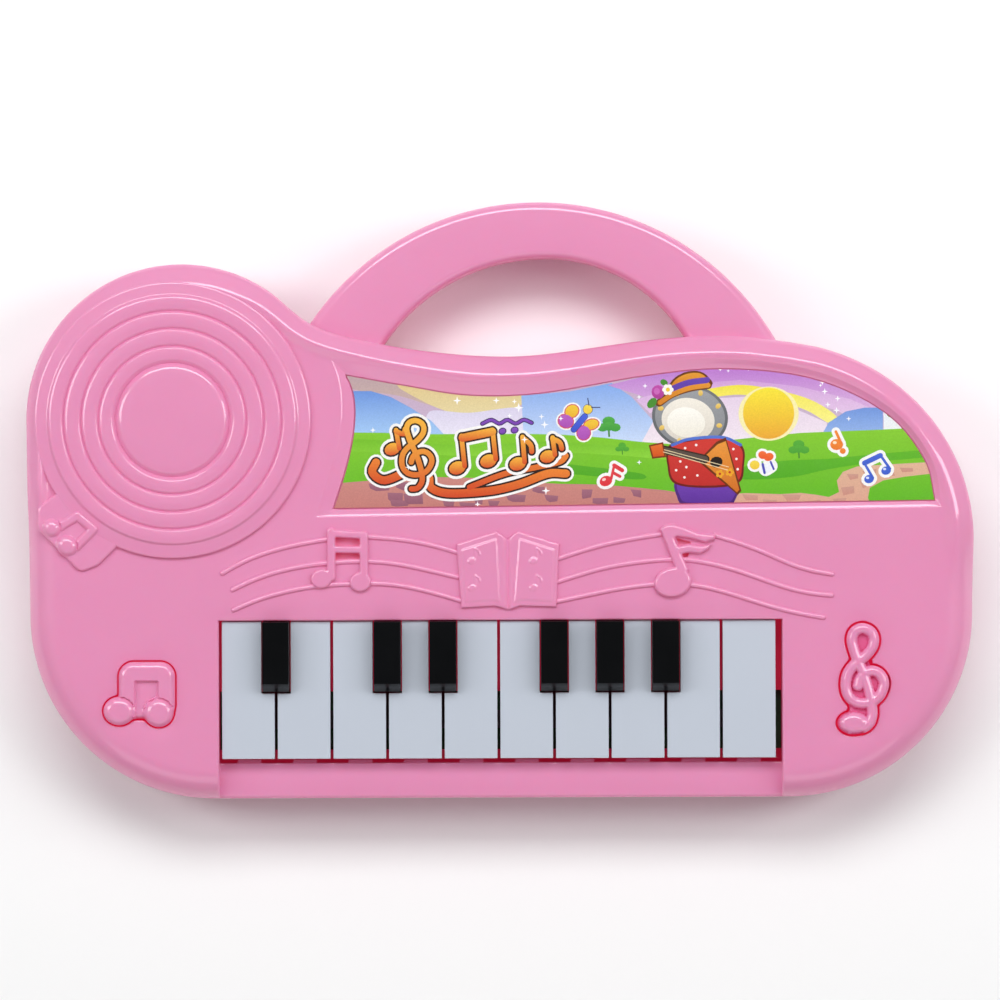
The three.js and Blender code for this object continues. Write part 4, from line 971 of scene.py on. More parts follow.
bar_along_x(
    "front_rail",
    [
        (FRONT_Y, PARTING_TOP),
        *corner(FRONT_Y + 1.2, RAIL_Z - 1.2, 1.2, 180),
        *corner(RAIL_REAR - 0.35, RAIL_Z - 0.35, 0.35, 90, 3),
        (RAIL_REAR, SKIRT_Z),
        (RAIL_REAR - CHEEK_WALL, SKIRT_Z),
        (RAIL_REAR - CHEEK_WALL, RAIL_Z - WALL),
        (FRONT_Y + WALL, RAIL_Z - WALL),
        (FRONT_Y + WALL, PARTING_TOP),
    ],
    -CHEEK_X - 0.3,
    CHEEK_X + 0.3,
)

WHITE_PITCH = 14.66
KEYS_X = -0.5
GUIDE_HALF, GUIDE_FRONT, GUIDE_REAR, GUIDE_TOP = 3.2, -70, -68.4, 21.0


def guide_blocks():
    """Blocks on the rail's inner lip that keep the fronts of the white keys in line."""
    skin = Skin()
    for key in range(10):
        x = KEYS_X + (key - 4.5) * WHITE_PITCH
        left, right = x - GUIDE_HALF, x + GUIDE_HALF
        line = closed_line(
            [(left, GUIDE_FRONT), (right, GUIDE_FRONT), (right, GUIDE_REAR), (left, GUIDE_REAR)], 1.0
        )
        top = line + inward(line) * 0.2
        rings = [skin.add(line, SKIRT_Z), skin.add(line, GUIDE_TOP - 0.2), skin.add(top, GUIDE_TOP)]
        skin.loft(rings)
        skin.cap(rings[-1], line)
        skin.cap(rings[0], line, flip=True)
    return piece("key_guides", skin.mesh("key_guides"))


guide_blocks()

# ------------------------------------------------------------------ handle

HANDLE_TOP = 23.0
HANDLE_ROUND = 2.3
HANDLE_FILLET = 4.2  # how far in the roof of the hollow starts
HANDLE_ARCS = [((10, 6.1, 72.5), 24, 156), ((11.8, 13, 50.9), 150, 90), ((12.3, 21.2, 42.7), 90, 25)]


def handle_top():
    """The handle's upper half, an arched tray turned over on the parting."""
    line = resampled(np.vstack([arc(*part) for part in HANDLE_ARCS]), 1.0, closed=True)
    way = inward(line)
    skin = Skin()
    outer = [skin.add(line, PARTING_TOP)]
    for turn in np.radians(np.linspace(0, 90, 8)):
        depth = HANDLE_ROUND * (1 - math.cos(turn))
        outer.append(skin.add(line + way * depth, HANDLE_TOP - HANDLE_ROUND * (1 - math.sin(turn))))
    skin.loft(outer)
    skin.cap(outer[-1], line + way * HANDLE_ROUND)
    hollow = ((WALL, PARTING_TOP), (WALL, HANDLE_TOP - 2 * WALL), (HANDLE_FILLET, HANDLE_TOP - WALL))
    inner = [skin.add(line + way * depth, z) for depth, z in hollow]
    skin.loft(inner[::-1])
    skin.cap(inner[-1], line + way * HANDLE_FILLET, flip=True)
    skin.strip(inner[0], outer[0])
    return piece("handle_top", skin.mesh("handle_top"))


handle_top()

# ------------------------------------------------------------------ speaker disc and its tab

DISC = (-86.1, 21.35)


def groove(radius, z, half_width, depth):
    """Profile points of a V groove with softened lips."""
    return [
        (radius + half_width * 1.5, z),
        (radius + half_width * 0.95, z - depth * 0.12),
        (radius + half_width * 0.25, z - depth * 0.9),
        (radius, z - depth),
        (radius - half_width * 0.25, z - depth * 0.9),
        (radius - half_width * 0.95, z - depth * 0.12),
        (radius - half_width * 1.5, z),
    ]


GROOVE_TOP = 30.1
DISC_PROFILE = [
    *((0, 27.2), (36.45, 27.2), (36.45, 28.7), (36.36, 28.98), (36.1, 29.18), (35.8, 29.25)),
    *((33.3, 29.25), (33.0, 29.32), (32.75, 29.6), (32.6, 29.85), (32.35, 30.02), (32.0, GROOVE_TOP)),
    *groove(28.7, GROOVE_TOP, 0.46, 0.82),
    *groove(24.1, GROOVE_TOP, 0.46, 0.82),
    *groove(19.5, GROOVE_TOP, 0.46, 0.82),
    *groove(15.0, GROOVE_TOP, 0.8, 1.3),
    *((13.4, 30.2), (12.0, 30.3), (8.0, 30.42), (4.0, 30.48), (0, 30.5)),
]
turned("speaker_disc", DISC_PROFILE, DISC, sharp=60)

TAB_CORNERS = np.array(
    [(-114.5, 1.1), (-119.5, -2.6), (-119.5, -6.3), (-110.0, -16.1)]
    + [(-107.0, -14.9), (-102.4, -10.4), (-107.0, -4.0)]
)
TAB_ROUND = 2.2
TAB_Z = 29.2
TAB_BOTTOM = 25.9
TAB_STRAND = 1.22
TAB_HEADS = [(-117.9, -6.9, 2.5, 2.4), (-113.9, -11.6, 2.95, 2.7)]
TAB_FRAME = np.array([(-116.0, -6.7), (-111.15, -3.8), (-107.0, -7.3), (-111.6, -11.9)])
TAB_REACH = 34.3  # the tab stops here under the disc's lowest step


def tab_heads(points):
    return union(*[ellipse_field(points, x, y, wide, high, -35) for x, y, wide, high in TAB_HEADS])


def tab_field(points):
    plate = union(area_field(points, TAB_CORNERS) - TAB_ROUND, tab_heads(points) - 0.1, soft=0.4)
    return np.maximum(plate, TAB_REACH - np.hypot(points[:, 0] - DISC[0], points[:, 1] - DISC[1]))


def tab_height(points, depth):
    """The tab's flat top, with a small beamed pair of notes standing on it."""
    base = TAB_Z - rounded(depth, 0.7)
    strands = -line_field(points, TAB_FRAME, TAB_STRAND)
    heads = -tab_heads(points)
    strand_top = TAB_Z + 1.0 - rounded(np.maximum(strands, 0), 0.8)
    head_top = TAB_Z + 1.45 - rounded(np.maximum(heads, 0), 1.9)
    share = smoothstep(-0.1, 0.15, strands)
    made = base * (1 - share) + np.maximum(strand_top, base) * share
    share = smoothstep(-0.1, 0.15, heads)
    return made * (1 - share) + np.maximum(head_top, base) * share


TAB_LINE = contour(tab_field, resampled(TAB_CORNERS, 0.5, closed=True))
relief("note_tab", TAB_LINE, tab_height, TAB_BOTTOM)

# ------------------------------------------------------------------ staves, notes and book on the face


STAVES = {
    "stave_left_1": [
        *((-73.27, -19.11), (-68.78, -16.25), (-63.89, -14.16), (-55.88, -11.95), (-50.28, -10.84)),
        (-44.73, -10.04),
    ],
    "stave_left_1_end": [
        *((-35.21, -9.51), (-30.72, -9.73), (-26.49, -10.17), (-20.68, -10.99), (-15.92, -12.16)),
        (-11.17, -13.74),
    ],
    "stave_left_2": [
        *((-70.63, -23.41), (-63.89, -20.08), (-55.88, -17.86), (-46.31, -16.38), (-34.16, -15.86)),
        *((-26.49, -16.65), (-11.17, -20.24)),
    ],
    "stave_left_3": [
        *((-70.36, -28.75), (-63.89, -25.71), (-55.88, -23.78), (-49.75, -22.46), (-33.47, -21.67)),
        *((-26.49, -22.2), (-20.68, -23.41), (-10.37, -26.43)),
    ],
    "stave_right_1": [(15.26, -15.49), (21.08, -13.48), (26.36, -11.89), (34.29, -10.31), (42.22, -9.12)],
    "stave_right_1_end": [
        *((56.22, -9.41), (58.87, -10.04), (62.04, -11.1), (68.91, -13.48), (75.67, -16.91)),
        *((81.59, -19.03), (87.54, -19.74)),
    ],
    "stave_right_2": [
        *((15.0, -21.54), (26.36, -17.97), (30.06, -17.18), (43.8, -15.59), (48.82, -15.59)),
        *((57.54, -17.18), (66.53, -20.08), (75.67, -23.52), (81.59, -24.95), (87.41, -25.32)),
    ],
    "stave_right_3": [
        *((14.73, -26.77), (26.36, -24.31), (30.06, -23.52), (40.1, -22.2), (50.41, -22.2)),
        *((57.54, -23.78), (66.53, -26.69), (75.67, -29.49), (85.16, -31.16)),
    ],
}
STAVE_RADIUS = 0.68


def eased(line):
    """The line resampled and smoothed with its ends held."""
    line = resampled(line, 1.0)
    for _ in range(40):
        line[1:-1] = (line[:-2] + 2 * line[1:-1] + line[2:]) / 4
    return line


for stave, marks in STAVES.items():
    bead(stave, eased(spline(marks)), STAVE_RADIUS, FACE_Z + 0.05)


def left_notes_field(points):
    """A pair of notes joined by two beams."""
    strands = [
        ((-44.46, -8.19), (-44.46, -20.08), 1.12),
        ((-35.85, -9.25), (-35.85, -21.14), 1.15),
        ((-44.46, -8.59), (-35.74, -9.12), 1.0),
        ((-44.46, -12.82), (-35.74, -13.0), 0.95),
    ]
    fields = [line_field(points, np.array([start, end]), radius) for start, end, radius in strands]
    fields += [ellipse_field(points, x, y, 2.85, 2.55, 15) for x, y in ((-47.05, -20.56), (-36.8, -21.41))]
    return union(*fields, soft=0.25)


RIGHT_STEM = [
    *((41.95, -7.66), (43.8, -6.87), (45.92, -10.04), (47.5, -13.74)),
    *((49.62, -18.5), (48.03, -20.61), (46.18, -18.5), (44.33, -13.74)),
]
RIGHT_FLAG = [
    *((41.95, -7.93), (43.27, -6.61), (45.39, -6.34), (48.3, -7.14), (52.0, -8.72), (56.75, -9.25)),
    *((56.49, -10.57), (53.85, -11.36), (50.15, -10.31), (46.45, -9.78), (45.12, -10.84)),
]
RIGHT_FLAG_TWO = [
    *((45.92, -12.42), (49.62, -11.63), (52.79, -12.16), (55.69, -11.76)),
    *((54.64, -13.21), (52.52, -14.4), (49.62, -14.01), (46.97, -14.53)),
]


def right_note_field(points):
    """One note whose stem carries two flags."""
    head = ellipse_field(points, 45.39, -21.8, 4.95, 3.95, 12)
    others = [area_field(points, np.array(line)) for line in (RIGHT_STEM, RIGHT_FLAG, RIGHT_FLAG_TWO)]
    return union(head, *others, soft=0.4)


FIGURE_FOOT = FACE_Z - 0.6  # raised figures reach this far into the face
FIGURE_STEP = 0.25


def masked(name, field, low, high, rise, radius):
    """A raised figure over the area where the field is below zero, for figures with holes in them.

    low and high are the corners of the grid that the figure is cut from.
    """
    x, y = np.meshgrid(np.arange(low[0], high[0], FIGURE_STEP), np.arange(low[1], high[1], FIGURE_STEP))
    grid = np.stack([x.ravel(), y.ravel()], 1)
    value = field(grid)
    snap = np.abs(value) < 0.75 * FIGURE_STEP
    edge = grid[snap]
    for _ in range(4):
        edge = stepped(field, edge, 0.0)
    grid[snap] = edge
    depth = np.where(snap, 0.0, np.maximum(-value, 0))
    keep = snap | (value < 0)
    number = np.arange(len(grid)).reshape(x.shape)
    quads = np.stack([number[:-1, :-1], number[:-1, 1:], number[1:, 1:], number[1:, :-1]], -1)
    a, b, c, d = quads.reshape(-1, 4).T
    faces = np.stack([a, b, c, a, c, d], 1).reshape(-1, 3)
    faces = faces[keep[faces].all(1) & (value[faces] < 0).any(1)]
    used, faces = np.unique(faces, return_inverse=True)
    faces = faces.reshape(-1, 3)
    skin = Skin()
    top = skin.add(grid[used], FACE_Z + rise - rounded(depth[used], radius))
    base = skin.add(grid[used], FIGURE_FOOT)
    skin.triangles(top, faces)
    skin.triangles(base, faces, flip=True)
    skin.faces += [(top[b], top[a], base[a], base[b]) for a, b in open_edges(faces)]
    return piece(name, skin.mesh(name, merge=1e-3), sharp=50)


masked("face_notes_left", left_notes_field, (-52, -26), (-32, -4), rise=1.4, radius=0.6)
masked("face_note_right", right_note_field, (38, -28), (60, -4), rise=1.6, radius=0.9)

BOOK_LINE = closed_line(
    [(-10.27, -28.41), (-1.39, -27.85), (0.2, -28.28), (2.15, -28.96), (3.63, -28.41), (5.22, -27.85)]
    + [(14.73, -28.22), (15.53, -11.55), (4.69, -8.19), (1.78, -10.25), (-0.86, -8.19), (-11.56, -11.55)]
)
BOOK_PAGES = [
    np.array([(-9.45, -27.09), (-1.65, -26.56), (0.07, -27.09), (-0.73, -9.91), (-10.37, -12.95)]),
    np.array([(3.5, -27.22), (5.22, -26.56), (13.81, -26.96), (14.34, -12.95), (4.82, -9.91)]),
]
BOOK_MARKS = [(-6.6, -14.5), (-6.6, -21.6), (9.6, -14.5), (9.6, -21.6)]


def book_height(points, depth):
    """Two raised pages that swell towards the fold, each with two small notes."""
    base = FACE_Z + 1.1 - rounded(depth, 0.5)
    page = union(*[area_field(points, p) for p in BOOK_PAGES])
    lift = smoothstep(0.0, 0.5, -page) * 0.32
    hump = np.exp(-(((points[:, 0] - 1.9) / 2.4) ** 2)) * 0.35
    crease = np.exp(-(((points[:, 0] - 1.95) / 0.55) ** 2)) * 0.75
    marks = np.full(len(points), 9.0)
    for x, y in BOOK_MARKS:
        marks = union(
            marks,
            ellipse_field(points, x - 0.9, y - 1.5, 1.05, 0.8, 20),
            line_field(points, np.array([(x, y - 1.4), (x, y + 1.8)]), 0.16),
            line_field(points, np.array([(x, y + 1.8), (x + 1.1, y + 0.9), (x + 1.2, y + 0.2)]), 0.18),
        )
    return base + lift + hump - crease + smoothstep(-0.12, 0.2, -marks) * 0.28


relief("face_book", BOOK_LINE, book_height, FIGURE_FOOT)

# ------------------------------------------------------------------ push buttons

BUTTON_TOP = 30.4
FLANGE_Z = 25.5


def note_height(points, depth):
    """A rounded frame with a sunk window, and two domed heads that stand a little above it."""
    frame_top = BUTTON_TOP - 0.2 - rounded(depth, 1.7)
    window = box_field(points, -96.3, -90.0, -70, -47.2, 0.4)
    heads = note_heads(points)
    hollow = smoothstep(-0.05, 0.3, -np.maximum(window, -heads)) * 1.35
    head_top = BUTTON_TOP + 0.1 - rounded(np.maximum(-heads, 0), 2.0)
    return np.where(heads < 0, np.maximum(frame_top - 0.75, head_top), frame_top - hollow)


relief("note_button_cap", NOTE_OUTLINE, note_height, FLANGE_Z, body="note_button")


def clef_height(points, depth):
    """A round strand that crosses itself and a domed bulb, over a sunk base."""
    base = BUTTON_TOP - 2.1 - rounded(depth, 0.4)
    strand = -line_field(points, CLEF_SPIRAL, CLEF_STRAND)
    bulb = -ellipse_field(points, *CLEF_BULB)
    top = np.where(strand > -0.15, BUTTON_TOP - 0.1 - rounded(np.maximum(strand, 0), CLEF_STRAND) * 0.85, 0)
    bulb_top = np.where(bulb > 0, BUTTON_TOP + 0.15 - rounded(bulb, 2.0), 0)
    return np.maximum(np.maximum(base, top), bulb_top)


relief(
    "clef_button_cap",
    CLEF_OUTLINE,
    clef_height,
    FLANGE_Z,
    spacing=0.26,
    # the sunk base of the cap, below this height, is pink with painted shade
    painted_shade_below=BUTTON_TOP - 1.35,
    body="clef_button",
)


FLANGE_THICKNESS = 2.0
FLANGE_CORNER = 2.0
STEM_RADIUS = 2.5
STEM_Z = 17.9
NOTE_STEM, CLEF_STEM = (-93, -53), (95, -53)


def button_foot(button, low, high, stem):
    """The flange that keeps a button in the shell, with the stem that presses its contact."""
    near = [(low[0] + FLANGE_CORNER, low[1]), (high[0] - FLANGE_CORNER, low[1])]
    right = [(high[0], low[1] + FLANGE_CORNER), (high[0], high[1] - FLANGE_CORNER)]
    far = [(high[0] - FLANGE_CORNER, high[1]), (low[0] + FLANGE_CORNER, high[1])]
    left = [(low[0], high[1] - FLANGE_CORNER), (low[0], low[1] + FLANGE_CORNER)]
    flange = closed_line(spline(near + right + far + left, closed=True), 1.0)
    post = circle(*stem, STEM_RADIUS, 24)
    skin = Skin()
    top, under = skin.add(flange, FLANGE_Z), skin.add(flange, FLANGE_Z - FLANGE_THICKNESS)
    root, tip = skin.add(post, FLANGE_Z - FLANGE_THICKNESS), skin.add(post, STEM_Z)
    skin.strip(under, top)
    skin.strip(tip, root)
    skin.cap(top, flange)
    skin.cap(tip, post, flip=True)
    skin.triangles(np.concatenate([under, root]), triangulated([flange, post])[1], flip=True)
    mesh = skin.mesh(f"{button}_foot")
    # flange and stem are pink with painted shade and a painted glow
    return piece(f"{button}_foot", mesh, material=GAP_PAINTED_SHADE, body=button, replaces=[button])


button_foot("note_button", (-105.3, -60.6), (-83, -39.6), NOTE_STEM)
button_foot("clef_button", (88.2, -62.6), (101.8, -31.8), CLEF_STEM)

# ------------------------------------------------------------------ contact rubber

RUBBER_Z = 14.3
MAT_TOP = 14.9
DOME_FOOT, DOME_HEAD = 2.4, 1.7
# Where each kind of key presses its dome, the dome's top, and what is left of its height at full travel
WHITE_CONTACT = (-58.0, 17.7, 0.33)
BLACK_CONTACT = (-47.5, 17.4, 0.5)
BUTTON_DOME = (17.6, 0.6)


def contact_dome(name, x, y, top, keep, joint, replaces=()):
    """A rubber cone under its key or button."""
    profile = [
        (0, RUBBER_Z),
        (DOME_FOOT, RUBBER_Z),
        (DOME_FOOT, MAT_TOP),
        (DOME_HEAD, top - 0.3),
        (DOME_HEAD - 0.3, top),
        (0, top),
    ]
    made = turned(name, profile, (x, y), sides=32, slot="contact_rubber", replaces=replaces)
    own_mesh(made)


def middle_x(node):
    low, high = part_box(node)
    return (low[0] + high[0]) / 2 / MM


def contact_mat():
    """The flat mat between the domes, with a finger to each black key's dome."""
    low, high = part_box("contact_rubber")
    front = WHITE_CONTACT[0] - DOME_FOOT
    rear = WHITE_CONTACT[0] + DOME_FOOT
    tip = BLACK_CONTACT[0] + DOME_FOOT
    outline = [(low[0] / MM, rear), (low[0] / MM, front), (high[0] / MM, front), (high[0] / MM, rear)]
    for number in range(6, 0, -1):
        x = middle_x(f"black_key_{number}")
        right, left = x + DOME_FOOT, x - DOME_FOOT
        outline += [(right, rear), (right, tip), (left, tip), (left, rear)]
    outline = np.array(outline)
    skin = Skin()
    upper, under = skin.add(outline, MAT_TOP), skin.add(outline, RUBBER_Z)
    skin.strip(under, upper)
    skin.cap(upper, outline)
    skin.cap(under, outline, flip=True)
    piece("contact_mat", skin.mesh("contact_mat"), "contact_rubber", replaces=["contact_rubber"])


contact_mat()
for kind, count, contact in (("white", 10, WHITE_CONTACT), ("black", 6, BLACK_CONTACT)):
    for number in range(1, count + 1):
        key = f"{kind}_key_{number}"
        contact_dome(f"{key}_dome", middle_x(key), *contact, f"{key}_press")
for button, stem in (("note_button", NOTE_STEM), ("clef_button", CLEF_STEM)):
    contact_dome(f"{button}_rubber", *stem, *BUTTON_DOME, f"{button}_press", replaces=[f"{button}_dome"])

# ------------------------------------------------------------------ sticker

# The picture, shape by shape in the order they are printed. The inks are hexadecimal sRGB: one for a
# plain shape, or the lower and the upper one of a shape that changes colour from its bottom to its top.
PICTURE = []
HALO, OUTLINE = "f4f2f0", "2a1814"
ORANGE, RIBBON = "d6502a f2b440", "d04a28 e88434"
RED, BLUE, PURPLE = "d8343c e04048", "3c5cc8 4868d4", "7440a8 8850bc"


def patch(inks, *corners):
    """An area with straight sides."""
    PICTURE.append((inks, "area", corners))


def blob(inks, *points):
    """An area with a curved outline through the points."""
    PICTURE.append((inks, "curve", points))


def disc(inks, x, y, radius_x, radius_y=None, turn=0, grow=0):
    """A disc or an ellipse turned clockwise."""
    PICTURE.append((inks, "disc", (x, y, radius_x + grow, (radius_y or radius_x) + grow, turn)))


def bar(inks, radius, *points, grow=0):
    """A straight stroke with round ends."""
    PICTURE.append((inks, "line", (radius + grow, *points)))


def ribbon(inks, radius, *points, grow=0):
    """A curved stroke with round ends."""
    PICTURE.append((inks, "swirl", (radius + grow, *points)))


def figure(layers, *parts):
    """All the parts grown and in one ink, layer by layer, and then in their own inks on top."""
    for grow, ink in (*layers, (0, None)):
        for shape, inks, *numbers in parts:
            shape(ink or inks, *numbers, grow=grow)


def flower(inks, heart_ink, x, y, count, spread, petal, heart):
    for k in range(count):
        a = 2 * math.pi * k / count
        disc(inks, x + spread * math.cos(a), y - spread * math.sin(a), petal)
    disc(heart_ink, x, y, heart)


# sky
patch("cdbfd6 c3a6c0", (-47.6, 37), (117.5, 37), (117.5, -4), (-47.6, -4))
blob(
    "cbb0a4 b39aa4", (-43.7, 35.7), (-26.5, 32.2), (-13.3, 28.5), (5.2, 26.4), (-0.1, 23.3), (-12, 23.3),
    (-26.5, 27.5), (-39.2, 29.6),
)
blob(
    "e4d6a4 dcc48e", (-27, 30.4), (-15.9, 29.1), (-5.4, 27.7), (7.3, 28), (3.1, 23.3), (-5.4, 21.1),
    (-12.8, 23), (-19.9, 25.9),
)
blob("e9e4f2 d8d0e8", (-18.6, 23.3), (-8, 23), (5.2, 24.3), (10.5, 20.6), (7.9, 16.6), (-15.9, 16.6))
patch(
    "a6caf2 6b93da", (-39.7, 28.8), (-33.9, 28.8), (-28.6, 27.2), (-23.3, 24.3), (-18, 20.9),
    (-14.3, 16.9), (-39.7, 16.6),
)
patch(
    "c9daf5 7fa6e6", (5.7, 27.5), (18.4, 28.5), (29.5, 30.7), (34.8, 27), (40.1, 21.1), (43.3, 14.3),
    (26.4, 14.3), (6.3, 16.6),
)
patch(
    "d9b2dc b46fca", (28.5, 30.1), (39.6, 32.8), (52.8, 35.4), (68.6, 35.9), (87.1, 33.3), (100.4, 27.5),
    (105.1, 23.3), (100.4, 22.2), (92.4, 25.9), (79.2, 29.3), (63.4, 31.2), (50.1, 30.4), (38.3, 27),
)
patch(
    "e7cfe6 cf9fd8", (35.9, 26.4), (50.1, 30.4), (63.4, 31.4), (79.2, 29.6), (92.4, 26.2), (101.4, 22.2),
    (97.2, 19), (88.7, 23.3), (73.9, 27.5), (60.7, 29.1), (47.5, 27), (39.6, 22.7),
)
blob(
    "f6ef8a efe04a", (52.8, 28.5), (63.4, 30.1), (73.9, 28.5), (82.4, 25.9), (88.7, 21.7), (87.1, 19.8),
    (80.8, 23.3), (72.9, 25.9), (63.4, 27.5), (53.8, 26.7),
)
patch(
    "f0e4ec e3cfe4", (36.9, 14.3), (42.2, 23.8), (52.8, 26.4), (64.7, 27), (76.6, 24.3), (86.1, 20.1),
    (86.1, 14.3),
)
patch("96b4e6 6f94d8", (84.5, 16.4), (86.6, 20.1), (91.1, 23), (96.1, 24), (100.9, 24), (100.9, 16.6))
patch("eef2ee e0e8f0", (101.1, 24), (108.3, 21.1), (109.6, 16.4), (101.1, 16.6))
disc("6aa63c", 103, 22.2, 1.06, 0.79)
disc("6aa63c", 105.4, 20.1, 0.92, 0.66, 30)
# lawn
patch(
    "58b222 86c832", (-47.6, 18), (-30.5, 17.8), (-18.6, 17.4), (5.2, 17.4), (15.8, 17.2), (26.4, 16.4),
    (36.9, 15.2), (46.2, 14.5), (52.8, 14.3), (60.7, 15.6), (68.6, 16.4), (79.2, 17.4), (89.8, 17.8),
    (100.4, 18.2), (107, 18.5), (117.5, 18.8), (117.5, -4), (-47.6, -4),
)
blob(
    "8ed23c 74bc2c", (-47.6, 15.6), (-37.1, 16.1), (-21.2, 15.1), (-5.4, 14.3), (10.5, 15.3), (31.6, 14),
    (50.1, 11.9), (50.1, 10), (31.6, 11.6), (10.5, 12.7), (-8, 11.6), (-26.5, 12.7), (-47.6, 13.2),
)
blob(
    "52a824 62b42a", (62, 7.9), (73.9, 10), (87.1, 10.6), (100.4, 11.9), (113.6, 12.7), (113.6, 11.1),
    (100.4, 9.8), (87.1, 7.9), (76.6, 5.8), (63.4, 5.3),
)
blob("4ea424 5cae26", (10.5, 10), (21.1, 9), (36.9, 6.9), (36.9, 5.3), (23.7, 6.3), (10.5, 7.9))
# path
patch(
    "c07a74 c98880", (-47.6, 4.2), (-39.7, 4.8), (-33.1, 5.3), (-26.5, 5.9), (-15.9, 6.1), (-5.4, 5.8),
    (5.2, 4.8), (15.8, 4.2), (26.4, 4), (35.6, 3.2), (43.5, 2.4), (50.1, 1.3), (62, 1.1), (62, -4),
    (-47.6, -4),
)
patch(
    "d8a08c dcb296", (56.8, 1.1), (64.7, 1.6), (73.9, 1.3), (79.2, 1.6), (83.2, 1.1), (86.6, 0.5),
    (89.3, 1.8), (88.7, 4.8), (90.3, 7.1), (94, 8.5), (101.4, 9), (113.6, 9.6), (114.1, 6.6),
    (106.7, 5.8), (100.9, 4.8), (97.4, 2.9), (96.9, 0.3), (98.2, -4), (56.8, -4),
)
# cobbles: x, y, width and depth of each, and the shape they share
CUT_STONE = [(-0.5, 0.5), (0.5, 0.5), (0.45, -0.5), (-0.25, -0.5), (-0.5, -0.25)]
WORN_STONE = [(-0.5, 0.5), (0.5, 0.5), (0.5, -0.33), (-0.25, -0.5)]
dice = random.Random(4)


def cobbles(inks, shape, stones):
    """Stones with the shape's corners, each corner a little out of place."""
    for x, y, width, depth in stones:
        corners = []
        for across, along in shape:
            shift_x, shift_y = dice.uniform(-0.4, 0.4), dice.uniform(-0.26, 0.26)
            corners.append((x + across * width + shift_x, y + along * depth - shift_y))
        patch(inks, *corners)


cobbles(
    "925c6e a0687a",
    CUT_STONE,
    [(-31.5, 3.4, 5.8, 1.6), (-24.1, 3.7, 6.9, 1.8), (-27.6, 0.8, 3.7, 2.6), (-26.5, -0.8, 4.8, 1.6)]
    + [(-19.9, 2.9, 2.6, 1.6), (-22.8, 0.3, 4.8, 2.9), (-17, 1.8, 2.6, 3.2), (-13.3, -0.8, 3.2, 1.6)]
    + [(-8.5, -1.3, 3.7, 1.3), (-5.6, -0.3, 2.4, 2.1), (-1.7, -1.1, 2.6, 1.6), (4.4, 0.5, 5.3, 2.1)]
    + [(10.5, 2.6, 3.2, 1.6), (13.7, 0.3, 3.7, 1.8), (22.7, 1.6, 2.9, 2.4), (26.4, -0.3, 3.7, 1.6)]
    + [(31.1, -0.3, 3.2, 1.6), (35.9, 1.6, 2.4, 1.8)],
)
cobbles(
    "cc8e80 c89888",
    WORN_STONE,
    [(65.5, 0.3, 4.2, 1.6), (70.8, -0.8, 3.7, 1.3), (76.6, 0.3, 4.8, 1.8), (82.4, -1.1, 3.7, 1.3)]
    + [(89.3, -0.8, 3.2, 1.6), (91.4, 2.1, 3.2, 2.1), (93, 5.8, 3.2, 1.8), (97.2, 6.9, 3.7, 1.3)]
    + [(95.6, 3.7, 1.8, 1.6), (107, 7.7, 3.7, 1.1), (102.5, 6.3, 2.6, 1.1)],
)
# trees
for x, y, size, inks in (
    (28.7, 19.3, 1, "3f9a3c 54ac48"),
    (78.7, 13.2, 0.9, "4a9e34 58ac3a"),
    (32.2, 13.5, 0.6, "4a9e34 58ac3a"),
):
    bar("4a8a34", 0.24 * size, (x, y - 0.5), (x + 0.1, y - 2.6 * size))
    for across, up, wide, high in ((0, 1.3, 1.7, 1.3), (-1.6, -0.3, 1.45, 1.1), (1.7, -0.3, 1.45, 1.1)):
        disc(inks, x + across * size, y + up * size, wide * size, high * size)
    disc(inks, x, y, 1.6 * size, 1.2 * size)
# sun
disc("f6ecb4 f4eaa8", 70.8, 22.5, 7.93, 7.14)
disc("e9a636 f5e23c", 70.8, 22.6, 6.74)
# butterfly
figure(
    [(0.66, HALO), (0.26, "d04860")],
    (disc, "e8b030 f0c840", 19, 23.3, 1.85, 1.59, -35),
    (disc, "a850b0 b860c0", 17.4, 20.7, 1.98, 1.72, 20),
    (disc, "e8b030 f0c840", 24.1, 19.8, 1.98, 1.32, -15),
    (disc, "a850b0 b860c0", 22.1, 17.6, 1.72, 1.85, 10),
)
figure(
    [(0.13, "30306c")],
    (bar, "3c54c8 4c64d8", 0.73, (22.4, 21.9), (19.5, 18.5)),
    (disc, "f0c840 f4d850", 23.2, 23.8, 1.22),
)
bar("30306c", 0.13, (23.5, 24.8), (23.2, 26.7))
bar("30306c", 0.13, (24.2, 24.3), (26.4, 24.3))
# red note
figure(
    [(0.79, HALO)],
    (disc, RED, 27.9, 4.9, 1.72, 1.37, -20),
    (bar, RED, 0.34, (29.3, 5.5), (30.1, 9)),
    (bar, RED, 0.53, (30.1, 9), (32.2, 7.7)),
    (bar, RED, 0.4, (29.8, 7.1), (31.6, 6.1)),
)
disc("f8c8c8", 27.4, 5.3, 0.53, 0.37, -20)
# orange note
figure(
    [(0.79, HALO)],
    (disc, "e87828 f08c38", 88.7, 14.3, 1.72, 1.48),
    (bar, "e87828 f08c38", 0.37, (89.8, 14.8), (88.5, 17.7)),
    (disc, "e87828 f08c38", 90.3, 12.6, 0.79),
)
disc("fbe0c0", 88.2, 14.8, 0.53, 0.4)
# blue notes
figure(
    [(0.79, HALO)],
    (disc, BLUE, 97.2, 5.2, 1.32, 1.11, -20),
    (disc, BLUE, 101.7, 7.4, 1.32, 1.11, -20),
    (bar, BLUE, 0.34, (98.2, 5.5), (95.9, 9.5)),
    (bar, BLUE, 0.34, (102.7, 7.9), (100.1, 11.6)),
    (bar, BLUE, 0.66, (96, 9.4), (100.2, 11.4)),
)
disc("d8e0f8", 96.8, 5.5, 0.42, 0.32)
disc("d8e0f8", 101.3, 7.8, 0.42, 0.32)
